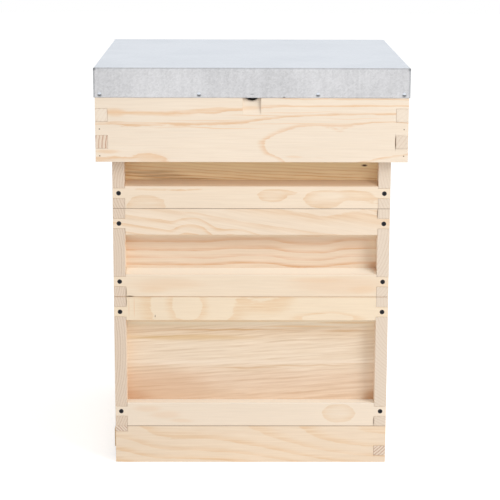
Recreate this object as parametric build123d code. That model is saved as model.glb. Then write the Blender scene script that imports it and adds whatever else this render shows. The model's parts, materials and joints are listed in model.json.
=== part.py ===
from build123d import *
import math
import os
from dataclasses import dataclass

# A single-walled wooden beehive in millimetres: mesh floor, brood box, queen excluder, two supers,
# crown board and metal-clad roof. +Z is up and the origin is the middle of the footprint on the
# ground. The front, with a hand-hold in every box, faces -Y. The bees' entrance is at +X and the
# inspection tray pulls out at -X.

# Boxes
BOX = 460.0  # outside of every box, both ways
WALL = 20.0  # side walls, left and right
PANEL = 20.0  # recessed end panels, front and back
RAIL = 24.0  # rails outside the end panels, so also the depth of a hand-hold
BROOD_HEIGHT = 225.0
SUPER_HEIGHT = 150.0
BROOD_RAIL_HEIGHT = 40.0
SUPER_RAIL_HEIGHT = 44.5
SUPER_RAIL_BEVEL = 7.0  # fall of a super's bottom rail from the panel to the face
FINGER = 17.0  # height of a rail's finger, and of the wall left beyond it
HOUSING = 6.0  # depth of the groove in a side wall that holds an end panel
PANEL_DROP = 17.0  # from a box's rim down to the top of its end panels

# Clearances
GLUE = 0.2  # at the shoulders and cheeks of glued joints
SEAT = 0.3  # between pieces that lift or slide apart
SCREW_CLEARANCE = 0.15

# Screws through the rails' fingers into the side walls
FASTENER_SIDES = 8  # screws and nails are faceted, because there are so many
SCREW_HEAD_RADIUS = 4.0
SCREW_HEAD_RIM = 0.5
SCREW_RADIUS = 2.1
SCREW_LENGTH = 50.0
SCREW_SUNK = 0.3

# Frames
LUG = 30.0  # reach of a frame's lugs beyond the clear bay between the panels
LUG_PLAY = 2.5  # end play of the lugs in the rails' rebates
LUG_WIDTH = 22.0
TOP_BAR_THICKNESS = 10.0
BROOD_TOP_BAR_WIDTH = 27.0
FRAME_DROP = 0.5  # of the top bars below the box's rim
FRAME_FOOTROOM = 9.0  # under the bottom bars
BEE_SPACE = 8.0  # between the side bars and the end panels
SIDE_BAR_THICKNESS = 10.0
SIDE_BAR_WIDTH = 22.0
BROOD_PITCH = 35.0  # also the width of the brood frames' self-spacing shoulders
BROOD_END_ROOM = 10.0  # least room beside the outermost brood frames
SHOULDER_HEIGHT = 95.0
SHOULDER_TAPER = 16.0
SUPER_PITCH = 42.0
BOTTOM_BAR = 9.5  # square section
WAX_THICKNESS = 2.0
WAX_PLAY = 0.25
WAX_GROOVE = 3.0  # how far the wax reaches up into the top bar
SHEET = 1.0  # thickness of runners, spacers, excluder, mesh and vent screens
RUNNER_HEIGHT = 25.0
RUNNER_HEM = 6.0
SPACER_HEIGHT = 30.0
SPACER_TOP_DROP = 1.5
SPACER_SLOT_PLAY = 1.0

# Queen excluder
EXCLUDER_INSET = 2.0
EXCLUDER_SLOT_LENGTH = 94.0
EXCLUDER_SLOT_WIDTH = 4.2
EXCLUDER_ROW_PITCH = 102.0
EXCLUDER_SLOT_PITCH = 16.0
EXCLUDER_BORDER = 20.0

# Floor
FLOOR_HEIGHT = 65.0
FLOOR_BOARD = 20.0
SILL_BASE = 12.0
SILL_HEIGHT = 17.0
SILL_LEDGE = 10.0  # inner strip of the sill that carries the mesh
TAIL_EAR = 10.0  # height of the tail rail's ears, let into the side boards
BATTEN = 12.0  # width of the grooved battens
TRAY_THICKNESS = 3.0
TRAY_BASE = 20.0
TRAY_GROOVE = 7.0  # depth of the tray's groove in a batten
TRAY_LIP_HEIGHT = 31.0
TRAY_END_ROOM = 2.0
ENTRANCE_WIDTH = 120.0
ENTRANCE_HEIGHT = 9.0
MESH_GAP = 30.0
MESH_STRAND = 5.0

# Crown board
CROWN_HEIGHT = 22.0
CROWN_RIM = 20.0
CROWN_PANEL = 6.0
CROWN_GROOVE = 6.0
FEED_SLOT_LENGTH = 90.0
FEED_SLOT_WIDTH = 32.0
FEED_SLOT_SPREAD = 220.0  # between the two slots' centres

# Roof
ROOF_PLAY = 5.0  # between the top super and the inside of the roof's rim
ROOF_BOARD = 20.0
ROOF_HEIGHT = 154.0
ROOF_FINGERS = 7
ROOF_LAP = 68.0  # how far the rim hangs below the rim of the top super
ROOF_PANEL = 9.0
ROOF_BATTEN = 20.0
VENT_DROP = 41.0  # from the rim's top to the vent's centre
VENT_RADIUS = 12.5
VENT_MARGIN = 2.5  # of the channel beyond the hole on each side
VENT_CHANNEL_DEPTH = 6.0
VENT_CUTTER_RADIUS = 105.0
SCREEN_LAP = 5.5  # of the screen beyond the hole on each side
SCREEN_GAP = 6.0
SCREEN_PITCH = 8.0
COVER_SHEET = 0.5
COVER_GAP = 0.4  # between the cover's skirt and the rim
COVER_SKIRT = 49.0
COVER_BEND = 1.0  # outside radius of the folds
NAIL_HEAD_RADIUS = 3.0
NAIL_HEAD_HEIGHT = 1.2
NAIL_HEAD_SLOPE = 50.0  # degrees from the nail's axis
NAIL_RADIUS = 1.1
NAIL_COVER = 1.7  # wood left between a nail's tip and the rim's inside
NAIL_RISE = 6.0  # above the skirt's lower edge
NAIL_STAGGER = 8.0  # how much higher the left and right nails are, so that two at a corner miss
NAIL_CORNER = 8.0  # from the rim's corner to the outer nails
NAIL_INNER_SPOTS = (-86.0, 107.0)

# Places that follow from the sizes above
HALF = BOX / 2
INNER = HALF - WALL  # half the clear width between the side walls
PANEL_FACE = HALF - RAIL
BAY = PANEL_FACE - PANEL  # half the clear span between the end panels
REBATE = LUG - PANEL + LUG_PLAY
WAX_SLIT = WAX_THICKNESS / 2 + WAX_PLAY  # half the slit between a frame's bottom bars
FLOOR_INNER = HALF - FLOOR_BOARD
MESH_BASE = SILL_BASE + SILL_HEIGHT
BROOD_RIM = FLOOR_HEIGHT + BROOD_HEIGHT
LOWER_BASE = BROOD_RIM + SHEET
UPPER_BASE = LOWER_BASE + SUPER_HEIGHT
STACK_TOP = UPPER_BASE + SUPER_HEIGHT
CROWN_TOP = STACK_TOP + CROWN_HEIGHT
RIM_INNER = HALF + ROOF_PLAY
RIM_OUTER = RIM_INNER + ROOF_BOARD
RIM_BASE = STACK_TOP - ROOF_LAP
RIM_TOP = RIM_BASE + ROOF_HEIGHT
VENT_HEIGHT = RIM_TOP - VENT_DROP
VENT_CHANNEL_WIDTH = 2 * (VENT_RADIUS + VENT_MARGIN)
SCREEN_SIDE = 2 * (VENT_RADIUS + SCREEN_LAP)
COVER_OUTER = RIM_OUTER + COVER_GAP + COVER_SHEET
COVER_TOP = RIM_TOP + COVER_SHEET
NAIL_LENGTH = COVER_OUTER - RIM_INNER - NAIL_COVER
SKIRT_BASE = COVER_TOP - COVER_SKIRT


@dataclass
class Chamber:
    """One box of the stack: where it stands, and how its rails and frames differ."""

    name: str
    base: float
    height: float
    rail_height: float
    rail_bevel: float
    frame_pitch: float
    frame_count: int
    top_bar_width: float
    side_bar_width: float

    @property
    def rim(self):
        return self.base + self.height

    @property
    def fingers(self):
        """Heights of the lower and upper fingers' middles."""
        return self.base + 1.5 * FINGER, self.rim - 1.5 * FINGER

    @property
    def bar_top(self):
        return self.rim - FRAME_DROP

    @property
    def bar_base(self):
        """Underside of the top bars, where the lugs rest."""
        return self.bar_top - TOP_BAR_THICKNESS

    @property
    def frame_base(self):
        return self.base + FRAME_FOOTROOM

    @property
    def frame_places(self):
        middle = (self.frame_count - 1) / 2
        return [(i - middle) * self.frame_pitch for i in range(self.frame_count)]


def block(x, y, z):
    """A straight board between pairs of limits."""
    corner = Pos(x[0], y[0], z[0])
    return corner * Box(x[1] - x[0], y[1] - y[0], z[1] - z[0], align=(Align.MIN, Align.MIN, Align.MIN))


def along_x(outline, half_length):
    """A section given as (y, z) points, run along X."""
    return extrude(Plane.YZ * Polygon(*outline, align=None), amount=half_length, both=True)


def turned(shape):
    """The same piece at the opposite side of the hive."""
    return Rot(0, 0, 180) * shape


def pair(shape):
    return [shape, turned(shape)]


# Floor


def floor_side_board():
    """Front side board, cut for the tail rail's ear at the top and the sill's finger at the right."""
    depth = (-HALF, -FLOOR_INNER)
    board = block((-HALF, HALF), depth, (0, FLOOR_HEIGHT))
    ear = block((-HALF, -FLOOR_INNER + GLUE), depth, (FLOOR_HEIGHT - TAIL_EAR - GLUE, FLOOR_HEIGHT))
    finger = block((FLOOR_INNER - GLUE, HALF), depth, (SILL_BASE - GLUE, MESH_BASE + GLUE))
    return board - ear - finger


def floor_tail_rail():
    """Left rail over the tray's slot, with an ear at each end."""
    between = FLOOR_INNER - GLUE
    body = block((-HALF, -FLOOR_INNER), (-between, between), (MESH_BASE + SHEET, FLOOR_HEIGHT))
    ears = block((-HALF, -FLOOR_INNER), (-HALF, HALF), (FLOOR_HEIGHT - TAIL_EAR, FLOOR_HEIGHT))
    return body + ears


def floor_sill():
    """Right rail under the entrance, with a ledge for the mesh and fingers through the side boards."""
    between = FLOOR_INNER - GLUE
    body = block((FLOOR_INNER - SILL_LEDGE, HALF), (-between, between), (SILL_BASE, MESH_BASE))
    fingers = block((FLOOR_INNER, HALF), (-HALF, HALF), (SILL_BASE, MESH_BASE))
    return body + fingers


def floor_batten():
    """Front batten: the mesh lies on it and the tray slides in its groove."""
    face = -FLOOR_INNER + BATTEN
    batten = block((-HALF, FLOOR_INNER - SILL_LEDGE - GLUE), (-FLOOR_INNER, face), (SILL_BASE, MESH_BASE))
    groove = block(
        (-HALF, FLOOR_INNER),
        (face - TRAY_GROOVE, face),
        (TRAY_BASE - SEAT, TRAY_BASE + TRAY_THICKNESS + SEAT),
    )
    return batten - groove


def floor_mesh():
    """Square mesh as one holed sheet, with as many gaps each way as its border leaves room for."""
    reach = FLOOR_INNER - SEAT
    pitch = MESH_GAP + MESH_STRAND
    across = int((2 * (FLOOR_INNER - BATTEN)) // pitch)
    along = int((2 * FLOOR_INNER - SILL_LEDGE) // pitch)
    sheet = Pos(-FLOOR_BOARD / 2, 0) * Rectangle(2 * reach + FLOOR_BOARD, 2 * reach)
    gaps = GridLocations(pitch, pitch, along, across) * Rectangle(MESH_GAP, MESH_GAP)
    return Pos(0, 0, MESH_BASE) * extrude(sheet - gaps, SHEET)


def inspection_tray():
    reach = FLOOR_INNER - BATTEN + TRAY_GROOVE - SEAT
    right = FLOOR_INNER - SILL_LEDGE - TRAY_END_ROOM
    return block((-HALF - SEAT, right), (-reach, reach), (TRAY_BASE, TRAY_BASE + TRAY_THICKNESS))


def tray_lip():
    reach = FLOOR_INNER - BATTEN + TRAY_GROOVE - SEAT
    face = -HALF - SEAT
    return block((face - TRAY_THICKNESS, face), (-reach, reach), (TRAY_BASE, TRAY_BASE + TRAY_LIP_HEIGHT))


def entrance_block():
    """Bar that stands on the sill and leaves the bees a low slot at its foot."""
    height = FLOOR_HEIGHT - MESH_BASE - 2 * SEAT
    bar = Pos(0, height / 2) * Rectangle(2 * (FLOOR_INNER - SEAT), height)
    slot = Rectangle(ENTRANCE_WIDTH, 2 * ENTRANCE_HEIGHT)
    profile = Plane.YZ * (bar - slot)
    return Pos(FLOOR_INNER + SEAT, 0, MESH_BASE + SEAT) * extrude(profile, FLOOR_BOARD - SEAT)


# Boxes


def spindle(radius, start, end, taper=0.0):
    """Faceted bar on the Y axis from one depth to another, narrowing by the taper's angle."""
    facing = 1 if end > start else -1
    plane = Plane(origin=(0, start, 0), x_dir=(1, 0, 0), z_dir=(0, facing, 0))
    return extrude(plane * RegularPolygon(radius, FASTENER_SIDES), abs(end - start), taper=taper)


def screw(clearance=0.0):
    """Countersunk screw driven along +Y from the front face; with a clearance, the hole for it."""
    head = SCREW_HEAD_RADIUS + clearance
    core = SCREW_RADIUS + clearance
    mouth = 0.0 if clearance else SCREW_SUNK
    cone_start = SCREW_SUNK + SCREW_HEAD_RIM
    cone_end = cone_start + (head - core) * math.cos(math.pi / FASTENER_SIDES)
    cone = spindle(head, cone_start, cone_end, taper=45)
    return spindle(head, mouth, cone_start) + cone + spindle(core, cone_end, SCREW_LENGTH + clearance)


def screw_places(box):
    x = HALF - WALL / 2
    return [Pos(side * x, -HALF, z) for z in box.fingers for side in (-1, 1)]


def box_screws(box):
    front = [place * screw() for place in screw_places(box)]
    return front + [turned(one) for one in front]


def drilled(piece, box):
    """The piece with the holes of the front and back screws that pass through it."""
    holes = [place * screw(SCREW_CLEARANCE) for place in screw_places(box)]
    return piece - holes - [turned(hole) for hole in holes]


def side_wall(box):
    """Right wall: notched at both ends for the rails' fingers and grooved for the end panels."""
    board = Pos(0, box.height / 2) * Rectangle(BOX, box.height)
    notches = [
        Pos(side * (HALF - RAIL / 2), z - box.base) * Rectangle(RAIL + 2 * GLUE, FINGER + 2 * GLUE)
        for z in box.fingers
        for side in (-1, 1)
    ]
    wall = Pos(INNER, 0, box.base) * extrude(Plane.YZ * (board - notches), WALL)
    groove = block(
        (INNER, INNER + HOUSING), (-PANEL_FACE - GLUE, -BAY + GLUE), (box.base, box.rim - PANEL_DROP + GLUE)
    )
    mirrored = mirror(groove, Plane.XZ)
    return drilled(wall - groove - mirrored, box)


def end_panel(box):
    half = INNER + HOUSING - GLUE
    return block((-half, half), (-PANEL_FACE, -BAY), (box.base, box.rim - PANEL_DROP))


def fingers_through(rail, box, middle):
    """Adds the fingers that pass through the side walls, and their screw holes."""
    low = middle - FINGER / 2
    finger = block((INNER - GLUE, HALF), (-HALF, -PANEL_FACE), (low, low + FINGER))
    return drilled(rail + finger + mirror(finger, Plane.YZ), box)


def top_rail(box):
    """Front top rail, rebated at the top inside for the frame lugs."""
    low = box.rim - box.rail_height
    ledge = box.rim - PANEL_DROP
    lip = -PANEL_FACE - REBATE
    lower = [(-HALF, low), (-PANEL_FACE, low), (-PANEL_FACE, ledge)]
    outline = [*lower, (lip, ledge), (lip, box.rim), (-HALF, box.rim)]
    return fingers_through(along_x(outline, INNER - GLUE), box, box.fingers[1])


def bottom_rail(box):
    """Front bottom rail, bevelled on the supers so that its top sheds water."""
    back = box.base + box.rail_height
    face = back - box.rail_bevel
    outline = [(-HALF, box.base), (-PANEL_FACE, box.base), (-PANEL_FACE, back), (-HALF, face)]
    return fingers_through(along_x(outline, INNER - GLUE), box, box.fingers[0])


def frame_runner(box):
    """Hemmed metal strip on the inside of the front panel; the lugs rest on its folded edge."""
    top = box.bar_base - SEAT
    low = top - RUNNER_HEIGHT
    inner = -BAY + SHEET
    hem = inner + SHEET
    fold = top - RUNNER_HEM
    outline = [(-BAY, low), (inner, low), (inner, fold), (hem, fold), (hem, top), (-BAY, top)]
    return along_x(outline, INNER - SEAT)


def frame_spacer(box):
    """Castellated metal strip: each slot seats and spaces one lug."""
    top = box.rim - SPACER_TOP_DROP
    seat = box.bar_base - SEAT
    strip = Pos(0, top - SPACER_HEIGHT / 2) * Rectangle(2 * (INNER - SEAT), SPACER_HEIGHT)
    slot = Rectangle(LUG_WIDTH + SPACER_SLOT_PLAY, 2 * (top - seat))
    slots = [Pos(x, top) * slot for x in box.frame_places]
    return Pos(0, -BAY + SHEET, 0) * extrude(Plane.XZ * (strip - slots), SHEET)


# Frames


def top_bar(box, x):
    """Top bar with its lugs, and a groove underneath for the wax."""
    half = BAY - BEE_SPACE
    length = 2 * (BAY + LUG)
    plan = Rectangle(LUG_WIDTH, length) + Rectangle(box.top_bar_width, 2 * half)
    bar = extrude(plan, TOP_BAR_THICKNESS)
    run = half - SIDE_BAR_THICKNESS
    groove = block((-WAX_SLIT, WAX_SLIT), (-run, run), (0, WAX_GROOVE + WAX_PLAY))
    return Pos(x, 0, box.bar_base) * (bar - groove)


def side_bar(box, x):
    """Front side bar: shouldered if the frames space themselves, notched below for the bottom bars."""
    wide = box.side_bar_width / 2
    narrow = SIDE_BAR_WIDTH / 2
    tongue = WAX_SLIT - GLUE
    top = box.bar_base
    shoulder = top - SHOULDER_HEIGHT
    waist = shoulder - SHOULDER_TAPER
    step = box.frame_base + BOTTOM_BAR + GLUE
    right = [(tongue, box.frame_base), (tongue, step), (narrow, step)]
    if wide > narrow:
        right += [(narrow, waist), (wide, shoulder)]
    right += [(wide, top)]
    left = [(-a, z) for a, z in reversed(right)]
    outer = -BAY + BEE_SPACE
    profile = Plane.XZ * Polygon(*right, *left, align=None)
    return Pos(x, outer + SIDE_BAR_THICKNESS, 0) * extrude(profile, SIDE_BAR_THICKNESS)


def bottom_bar(box, x, side):
    half = BAY - BEE_SPACE
    limits = sorted((x + side * WAX_SLIT, x + side * (WAX_SLIT + BOTTOM_BAR)))
    return block(limits, (-half, half), (box.frame_base, box.frame_base + BOTTOM_BAR))


def wax_sheet(box, x):
    """Foundation: up into the top bar's groove, between the side bars, down between the bottom bars."""
    half = BAY - BEE_SPACE - SIDE_BAR_THICKNESS - WAX_PLAY
    thick = WAX_THICKNESS / 2
    return block((x - thick, x + thick), (-half, half), (box.frame_base + SEAT, box.bar_base + WAX_GROOVE))


# Queen excluder


def queen_excluder():
    """Slotted sheet that lies on the brood box's rim."""
    side = BOX - 2 * EXCLUDER_INSET
    field = side - 2 * EXCLUDER_BORDER
    columns = int((field - EXCLUDER_SLOT_WIDTH) // EXCLUDER_SLOT_PITCH) + 1
    rows = int((field - EXCLUDER_SLOT_LENGTH) // EXCLUDER_ROW_PITCH) + 1
    slot = Rectangle(EXCLUDER_SLOT_WIDTH, EXCLUDER_SLOT_LENGTH)
    slots = GridLocations(EXCLUDER_SLOT_PITCH, EXCLUDER_ROW_PITCH, columns, rows) * slot
    return Pos(0, 0, BROOD_RIM) * extrude(Rectangle(side, side) - slots, SHEET)


# Crown board


def crown_panel():
    """Thin panel held in the rim's grooves, with two long feed holes."""
    half = HALF - CROWN_RIM + CROWN_GROOVE - GLUE
    sheet = Rectangle(2 * half, 2 * half)
    slots = [
        Pos(side * FEED_SLOT_SPREAD / 2, 0) * Rot(0, 0, 90) * SlotOverall(FEED_SLOT_LENGTH, FEED_SLOT_WIDTH)
        for side in (-1, 1)
    ]
    thickness = CROWN_PANEL - GLUE
    return Pos(0, 0, STACK_TOP + (CROWN_HEIGHT - thickness) / 2) * extrude(sheet - slots, thickness)


def crown_rim():
    """Four grooved battens; the front and back ones end in tongues that fit the others' grooves."""
    low = STACK_TOP + (CROWN_HEIGHT - CROWN_PANEL) / 2
    slit = (low, low + CROWN_PANEL)
    inner = HALF - CROWN_RIM
    root = inner + CROWN_GROOVE
    stack = (STACK_TOP, CROWN_TOP)
    right = block((inner, HALF), (-HALF, HALF), stack) - block((inner, root), (-HALF, HALF), slit)
    front = block((-inner, inner), (-HALF, -inner), stack) - block((-inner, inner), (-root, -inner), slit)
    reach = root - GLUE
    tongue = (slit[0] + GLUE / 2, slit[1] - GLUE / 2)
    front += block((-reach, reach), (-HALF, -root), tongue)
    return pair(right) + pair(front)


# Roof


def roof_end_fingers(positions, clearance):
    """Rectangles that clear the ends of a roof board at the numbered finger positions."""
    step = ROOF_HEIGHT / ROOF_FINGERS
    reach = RIM_OUTER - RIM_INNER + GLUE
    middle = RIM_INNER - GLUE + reach / 2
    cut = Rectangle(reach, step + 2 * clearance)
    return [Pos(side * middle, (i + 0.5) * step) * cut for i in positions for side in (-1, 1)]


def roof_outline():
    return Pos(0, ROOF_HEIGHT / 2) * Rectangle(2 * RIM_OUTER, ROOF_HEIGHT)


def roof_front_board():
    """Front board with even fingers, the vent's hole and the channel milled down to it from outside."""
    profile = roof_outline() - roof_end_fingers(range(1, ROOF_FINGERS, 2), 0)
    board = Pos(0, -RIM_INNER, RIM_BASE) * extrude(Plane.XZ * profile, ROOF_BOARD)
    cutter_y = -RIM_OUTER + VENT_CHANNEL_DEPTH - VENT_CUTTER_RADIUS
    cutter = Rot(0, 90, 0) * Cylinder(VENT_CUTTER_RADIUS, VENT_CHANNEL_WIDTH)
    channel = Pos(0, cutter_y, VENT_HEIGHT) * cutter
    hole = Pos(0, -RIM_OUTER, VENT_HEIGHT) * Rot(90, 0, 0) * Cylinder(VENT_RADIUS, 4 * ROOF_BOARD)
    return board - channel - hole


def roof_side_board():
    """Right board, whose fingers fill the sockets of the front and back boards."""
    profile = roof_outline() - roof_end_fingers(range(0, ROOF_FINGERS, 2), GLUE)
    return Pos(RIM_INNER, 0, RIM_BASE) * extrude(Plane.YZ * profile, ROOF_BOARD)


def roof_panel():
    half = RIM_INNER - SEAT
    return block((-half, half), (-half, half), (RIM_TOP - ROOF_PANEL, RIM_TOP))


def roof_batten():
    """Right batten: it stands on the crown board and carries the roof's panel."""
    half = RIM_INNER - SEAT
    return block((RIM_INNER - ROOF_BATTEN, RIM_INNER), (-half, half), (CROWN_TOP, RIM_TOP - ROOF_PANEL))


def vent_screen():
    """Perforated plate behind the front vent, with as many gaps as the vent's width takes."""
    count = int(2 * VENT_RADIUS // SCREEN_PITCH)
    gaps = GridLocations(SCREEN_PITCH, SCREEN_PITCH, count, count) * Rectangle(SCREEN_GAP, SCREEN_GAP)
    plate = extrude(Plane.XZ * (Rectangle(SCREEN_SIDE, SCREEN_SIDE) - gaps), SHEET)
    return Pos(0, -RIM_INNER + SHEET, VENT_HEIGHT) * plate


def roof_cover():
    """Folded sheet: a top, four skirts, and at each corner a doubled triangle folded onto the side."""
    outer = block((-COVER_OUTER, COVER_OUTER), (-COVER_OUTER, COVER_OUTER), (SKIRT_BASE, COVER_TOP))
    hollow = COVER_OUTER - COVER_SHEET
    inner = block((-hollow, hollow), (-hollow, hollow), (SKIRT_BASE, RIM_TOP))
    low_edges = outer.edges().group_by(Axis.Z)[0]
    cover = fillet(outer.edges() - low_edges, COVER_BEND) - inner
    edge = COVER_OUTER - COVER_BEND
    leg = COVER_SKIRT - COVER_BEND
    triangle = Polygon((edge, SKIRT_BASE), (edge, SKIRT_BASE + leg), (edge - leg, SKIRT_BASE), align=None)
    flap = Pos(COVER_OUTER, 0, 0) * extrude(Plane.YZ * triangle, 2 * COVER_SHEET)
    flaps = pair(flap) + pair(mirror(flap, Plane.XZ))
    return cover + flaps


def nail():
    """Round-headed nail driven along +Y, its head's underside at the origin."""
    head = spindle(NAIL_HEAD_RADIUS, 0, -NAIL_HEAD_HEIGHT, taper=NAIL_HEAD_SLOPE)
    return head + spindle(NAIL_RADIUS, 0, NAIL_LENGTH)


def roof_nails():
    """Four nails through each skirt; on the left and right the outer two also hold the flaps."""
    corner = RIM_OUTER - NAIL_CORNER
    spots = [-corner, *NAIL_INNER_SPOTS, corner]
    nails = []
    for quarter in range(4):
        at_side = quarter % 2
        height = SKIRT_BASE + NAIL_RISE + at_side * NAIL_STAGGER
        for x in spots:
            lift = 2 * COVER_SHEET if at_side and abs(x) == corner else 0
            nails.append(Rot(0, 0, 90 * quarter) * Pos(x, -COVER_OUTER - lift, height) * nail())
    return nails


# Nodes


def save(name, pieces):
    """Writes one node, as a group where it has several separate solids."""
    solids = [solid for piece in pieces for solid in piece.solids()]
    whole = solids[0] if len(solids) == 1 else Compound(solids)
    export_step(whole, f"parts/{name}.step")


def save_floor():
    save("floor_front_board", [floor_side_board()])
    save("floor_back_board", [mirror(floor_side_board(), Plane.XZ)])
    save("floor_tail_rail", [floor_tail_rail()])
    save("floor_sill", [floor_sill()])
    save("floor_battens", [floor_batten(), mirror(floor_batten(), Plane.XZ)])
    save("floor_mesh", [floor_mesh()])
    save("inspection_tray", [inspection_tray()])
    save("tray_lip", [tray_lip()])
    save("entrance_block", [entrance_block()])


def save_box(box, lug_strip):
    wall = side_wall(box)
    panel = end_panel(box)
    upper = top_rail(box)
    lower = bottom_rail(box)
    save(f"{box.name}_right_wall", [wall])
    save(f"{box.name}_left_wall", [turned(wall)])
    save(f"{box.name}_front_panel", [panel])
    save(f"{box.name}_back_panel", [turned(panel)])
    save(f"{box.name}_front_top_rail", [upper])
    save(f"{box.name}_front_bottom_rail", [lower])
    save(f"{box.name}_back_rails", [turned(upper), turned(lower)])
    save(f"{box.name}_screws", box_screws(box))
    save(f"{box.name}_{lug_strip.__name__}s", pair(lug_strip(box)))


def save_frames(box):
    places = box.frame_places
    side_bars = [bar for x in places for bar in (side_bar(box, x), mirror(side_bar(box, x), Plane.XZ))]
    save(f"{box.name}_top_bars", [top_bar(box, x) for x in places])
    save(f"{box.name}_side_bars", side_bars)
    save(f"{box.name}_bottom_bars", [bottom_bar(box, x, side) for x in places for side in (-1, 1)])
    save(f"{box.name}_wax_sheets", [wax_sheet(box, x) for x in places])


def save_crown_board():
    save("crown_panel", [crown_panel()])
    save("crown_rim", crown_rim())


def save_roof():
    save("roof_front_board", [roof_front_board()])
    save("roof_back_board", [turned(roof_front_board())])
    save("roof_right_board", [roof_side_board()])
    save("roof_left_board", [turned(roof_side_board())])
    save("roof_panel", [roof_panel()])
    save("roof_battens", pair(roof_batten()))
    save("roof_vent_screens", pair(vent_screen()))
    save("roof_cover", [roof_cover()])
    save("roof_nails", roof_nails())


def brood_box():
    count = int((2 * INNER - 2 * BROOD_END_ROOM) // BROOD_PITCH)
    return Chamber(
        name="brood",
        base=FLOOR_HEIGHT,
        height=BROOD_HEIGHT,
        rail_height=BROOD_RAIL_HEIGHT,
        rail_bevel=0.0,
        frame_pitch=BROOD_PITCH,
        frame_count=count,
        top_bar_width=BROOD_TOP_BAR_WIDTH,
        side_bar_width=BROOD_PITCH - GLUE,
    )


def super_box(name, base):
    return Chamber(
        name=name,
        base=base,
        height=SUPER_HEIGHT,
        rail_height=SUPER_RAIL_HEIGHT,
        rail_bevel=SUPER_RAIL_BEVEL,
        frame_pitch=SUPER_PITCH,
        frame_count=int(2 * INNER // SUPER_PITCH),
        top_bar_width=LUG_WIDTH,
        side_bar_width=SIDE_BAR_WIDTH,
    )


def main():
    os.makedirs("parts", exist_ok=True)
    save_floor()
    brood = brood_box()
    save_box(brood, frame_runner)
    save_frames(brood)
    save("queen_excluder", [queen_excluder()])
    for name, base in (("lower_super", LOWER_BASE), ("upper_super", UPPER_BASE)):
        box = super_box(name, base)
        save_box(box, frame_spacer)
        save_frames(box)
    save_crown_board()
    save_roof()


main()
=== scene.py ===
"""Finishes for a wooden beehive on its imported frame: pine, zinc, wire, wax and a plain studio."""

import json
import math
from typing import NamedTuple

import bpy
import numpy as np
from mathutils import Euler, Matrix, Vector


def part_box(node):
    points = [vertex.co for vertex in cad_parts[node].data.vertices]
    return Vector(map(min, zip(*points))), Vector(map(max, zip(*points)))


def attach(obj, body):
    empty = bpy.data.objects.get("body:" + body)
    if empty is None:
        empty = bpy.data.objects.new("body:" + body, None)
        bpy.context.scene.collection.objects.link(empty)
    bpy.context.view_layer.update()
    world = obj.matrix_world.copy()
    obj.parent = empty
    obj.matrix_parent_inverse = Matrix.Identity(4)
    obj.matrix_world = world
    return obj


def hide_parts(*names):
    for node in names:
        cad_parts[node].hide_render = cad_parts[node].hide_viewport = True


bl_info = {
    "name": "Wooden Beehive Finishes",
    "version": (1, 0, 0),
    "blender": (4, 5, 0),
    "location": "3D View > Sidebar > Beehive",
    "description": "Gives a packed beehive its wood, metal, wax and studio",
    "category": "Object",
}

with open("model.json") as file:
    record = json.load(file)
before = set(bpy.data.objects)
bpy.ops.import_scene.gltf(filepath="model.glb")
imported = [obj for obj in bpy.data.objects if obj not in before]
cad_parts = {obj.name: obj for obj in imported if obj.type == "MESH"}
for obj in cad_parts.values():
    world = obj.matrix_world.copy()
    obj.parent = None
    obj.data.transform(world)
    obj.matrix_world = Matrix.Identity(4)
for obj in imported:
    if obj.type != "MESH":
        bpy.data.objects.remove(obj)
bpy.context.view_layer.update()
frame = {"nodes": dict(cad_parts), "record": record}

MM = 0.001
TAU = 2 * math.pi
# A reach that takes in the whole hive, in metres or in millimetres.
EVERYWHERE = 10000
# The first words of each box's nodes, and the body that they ride on.
BOXES = {"brood": "brood_box", "lower_super": "lower_super", "upper_super": "upper_super"}


def tint(red, green, blue):
    """Linear colour of a tone in display values up to 255: a 2.4 power above a short straight toe."""
    shown = np.array((red, green, blue)) / 255
    linear = np.where(shown > 0.04045, ((shown + 0.055) / 1.055) ** 2.4, shown / 12.92)
    return tuple(float(value) for value in linear)


def colour_setting(name, description, tone):
    return bpy.props.FloatVectorProperty(
        name=name, description=description, subtype="COLOR", size=3, min=0, max=1, default=tint(*tone)
    )


def length_setting(name, description, millimetres):
    return bpy.props.FloatProperty(
        name=name, description=description, unit="LENGTH", subtype="DISTANCE", default=millimetres * MM
    )


def plain_setting(name, description, default):
    return bpy.props.FloatProperty(name=name, description=description, default=default)


class HivePine(bpy.types.PropertyGroup):
    """Planed boards of the boxes, floor, crown board and roof."""

    early: colour_setting("Spring wood", "Pale wood between the lines", (248, 233, 214))
    late: colour_setting("Summer wood", "Tan wood of the lines", (239, 204, 167))
    end: colour_setting("End grain", "Greyer wood of the sawn ends", (236, 219, 200))
    ring: length_setting("Ring width", "Growth in one year, on boards whose cut isn't listed", 4.6)
    edge: length_setting("Edge", "Rounding of planed edges", 0.7)
    relief: length_setting("Relief", "Height of the fibres and lines", 0.12)


class HiveFrames(bpy.types.PropertyGroup):
    """Frames of the three boxes and the wax in them."""

    early: colour_setting("Spring wood", "Pale wood of the bars", (247, 233, 212))
    late: colour_setting("Summer wood", "Lines of the bars", (232, 204, 168))
    ring: length_setting("Ring width", "Growth in one year", 2.8)
    wax: colour_setting("Wax", "Pressed beeswax", (226, 178, 84))
    wall: colour_setting("Cell walls", "Thicker wax along the pressed cells", (238, 196, 108))
    cell: length_setting("Cell", "Width of one pressed cell", 5.4)
    depth: length_setting("Cell depth", "Height of the pressed walls", 0.7)


class HivePly(bpy.types.PropertyGroup):
    """Thin sheets: crown board, roof panel and tray."""

    face: colour_setting("Face", "Pale wood of the outer veneer", (230, 200, 160))
    line: colour_setting("Lines", "Broad darker figure of the veneer", (206, 168, 122))
    cross: colour_setting("Cross veneer", "Darker edge of every other veneer", (168, 124, 82))
    veneer: length_setting("Veneer", "Thickness of one veneer", 1.45)


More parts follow.
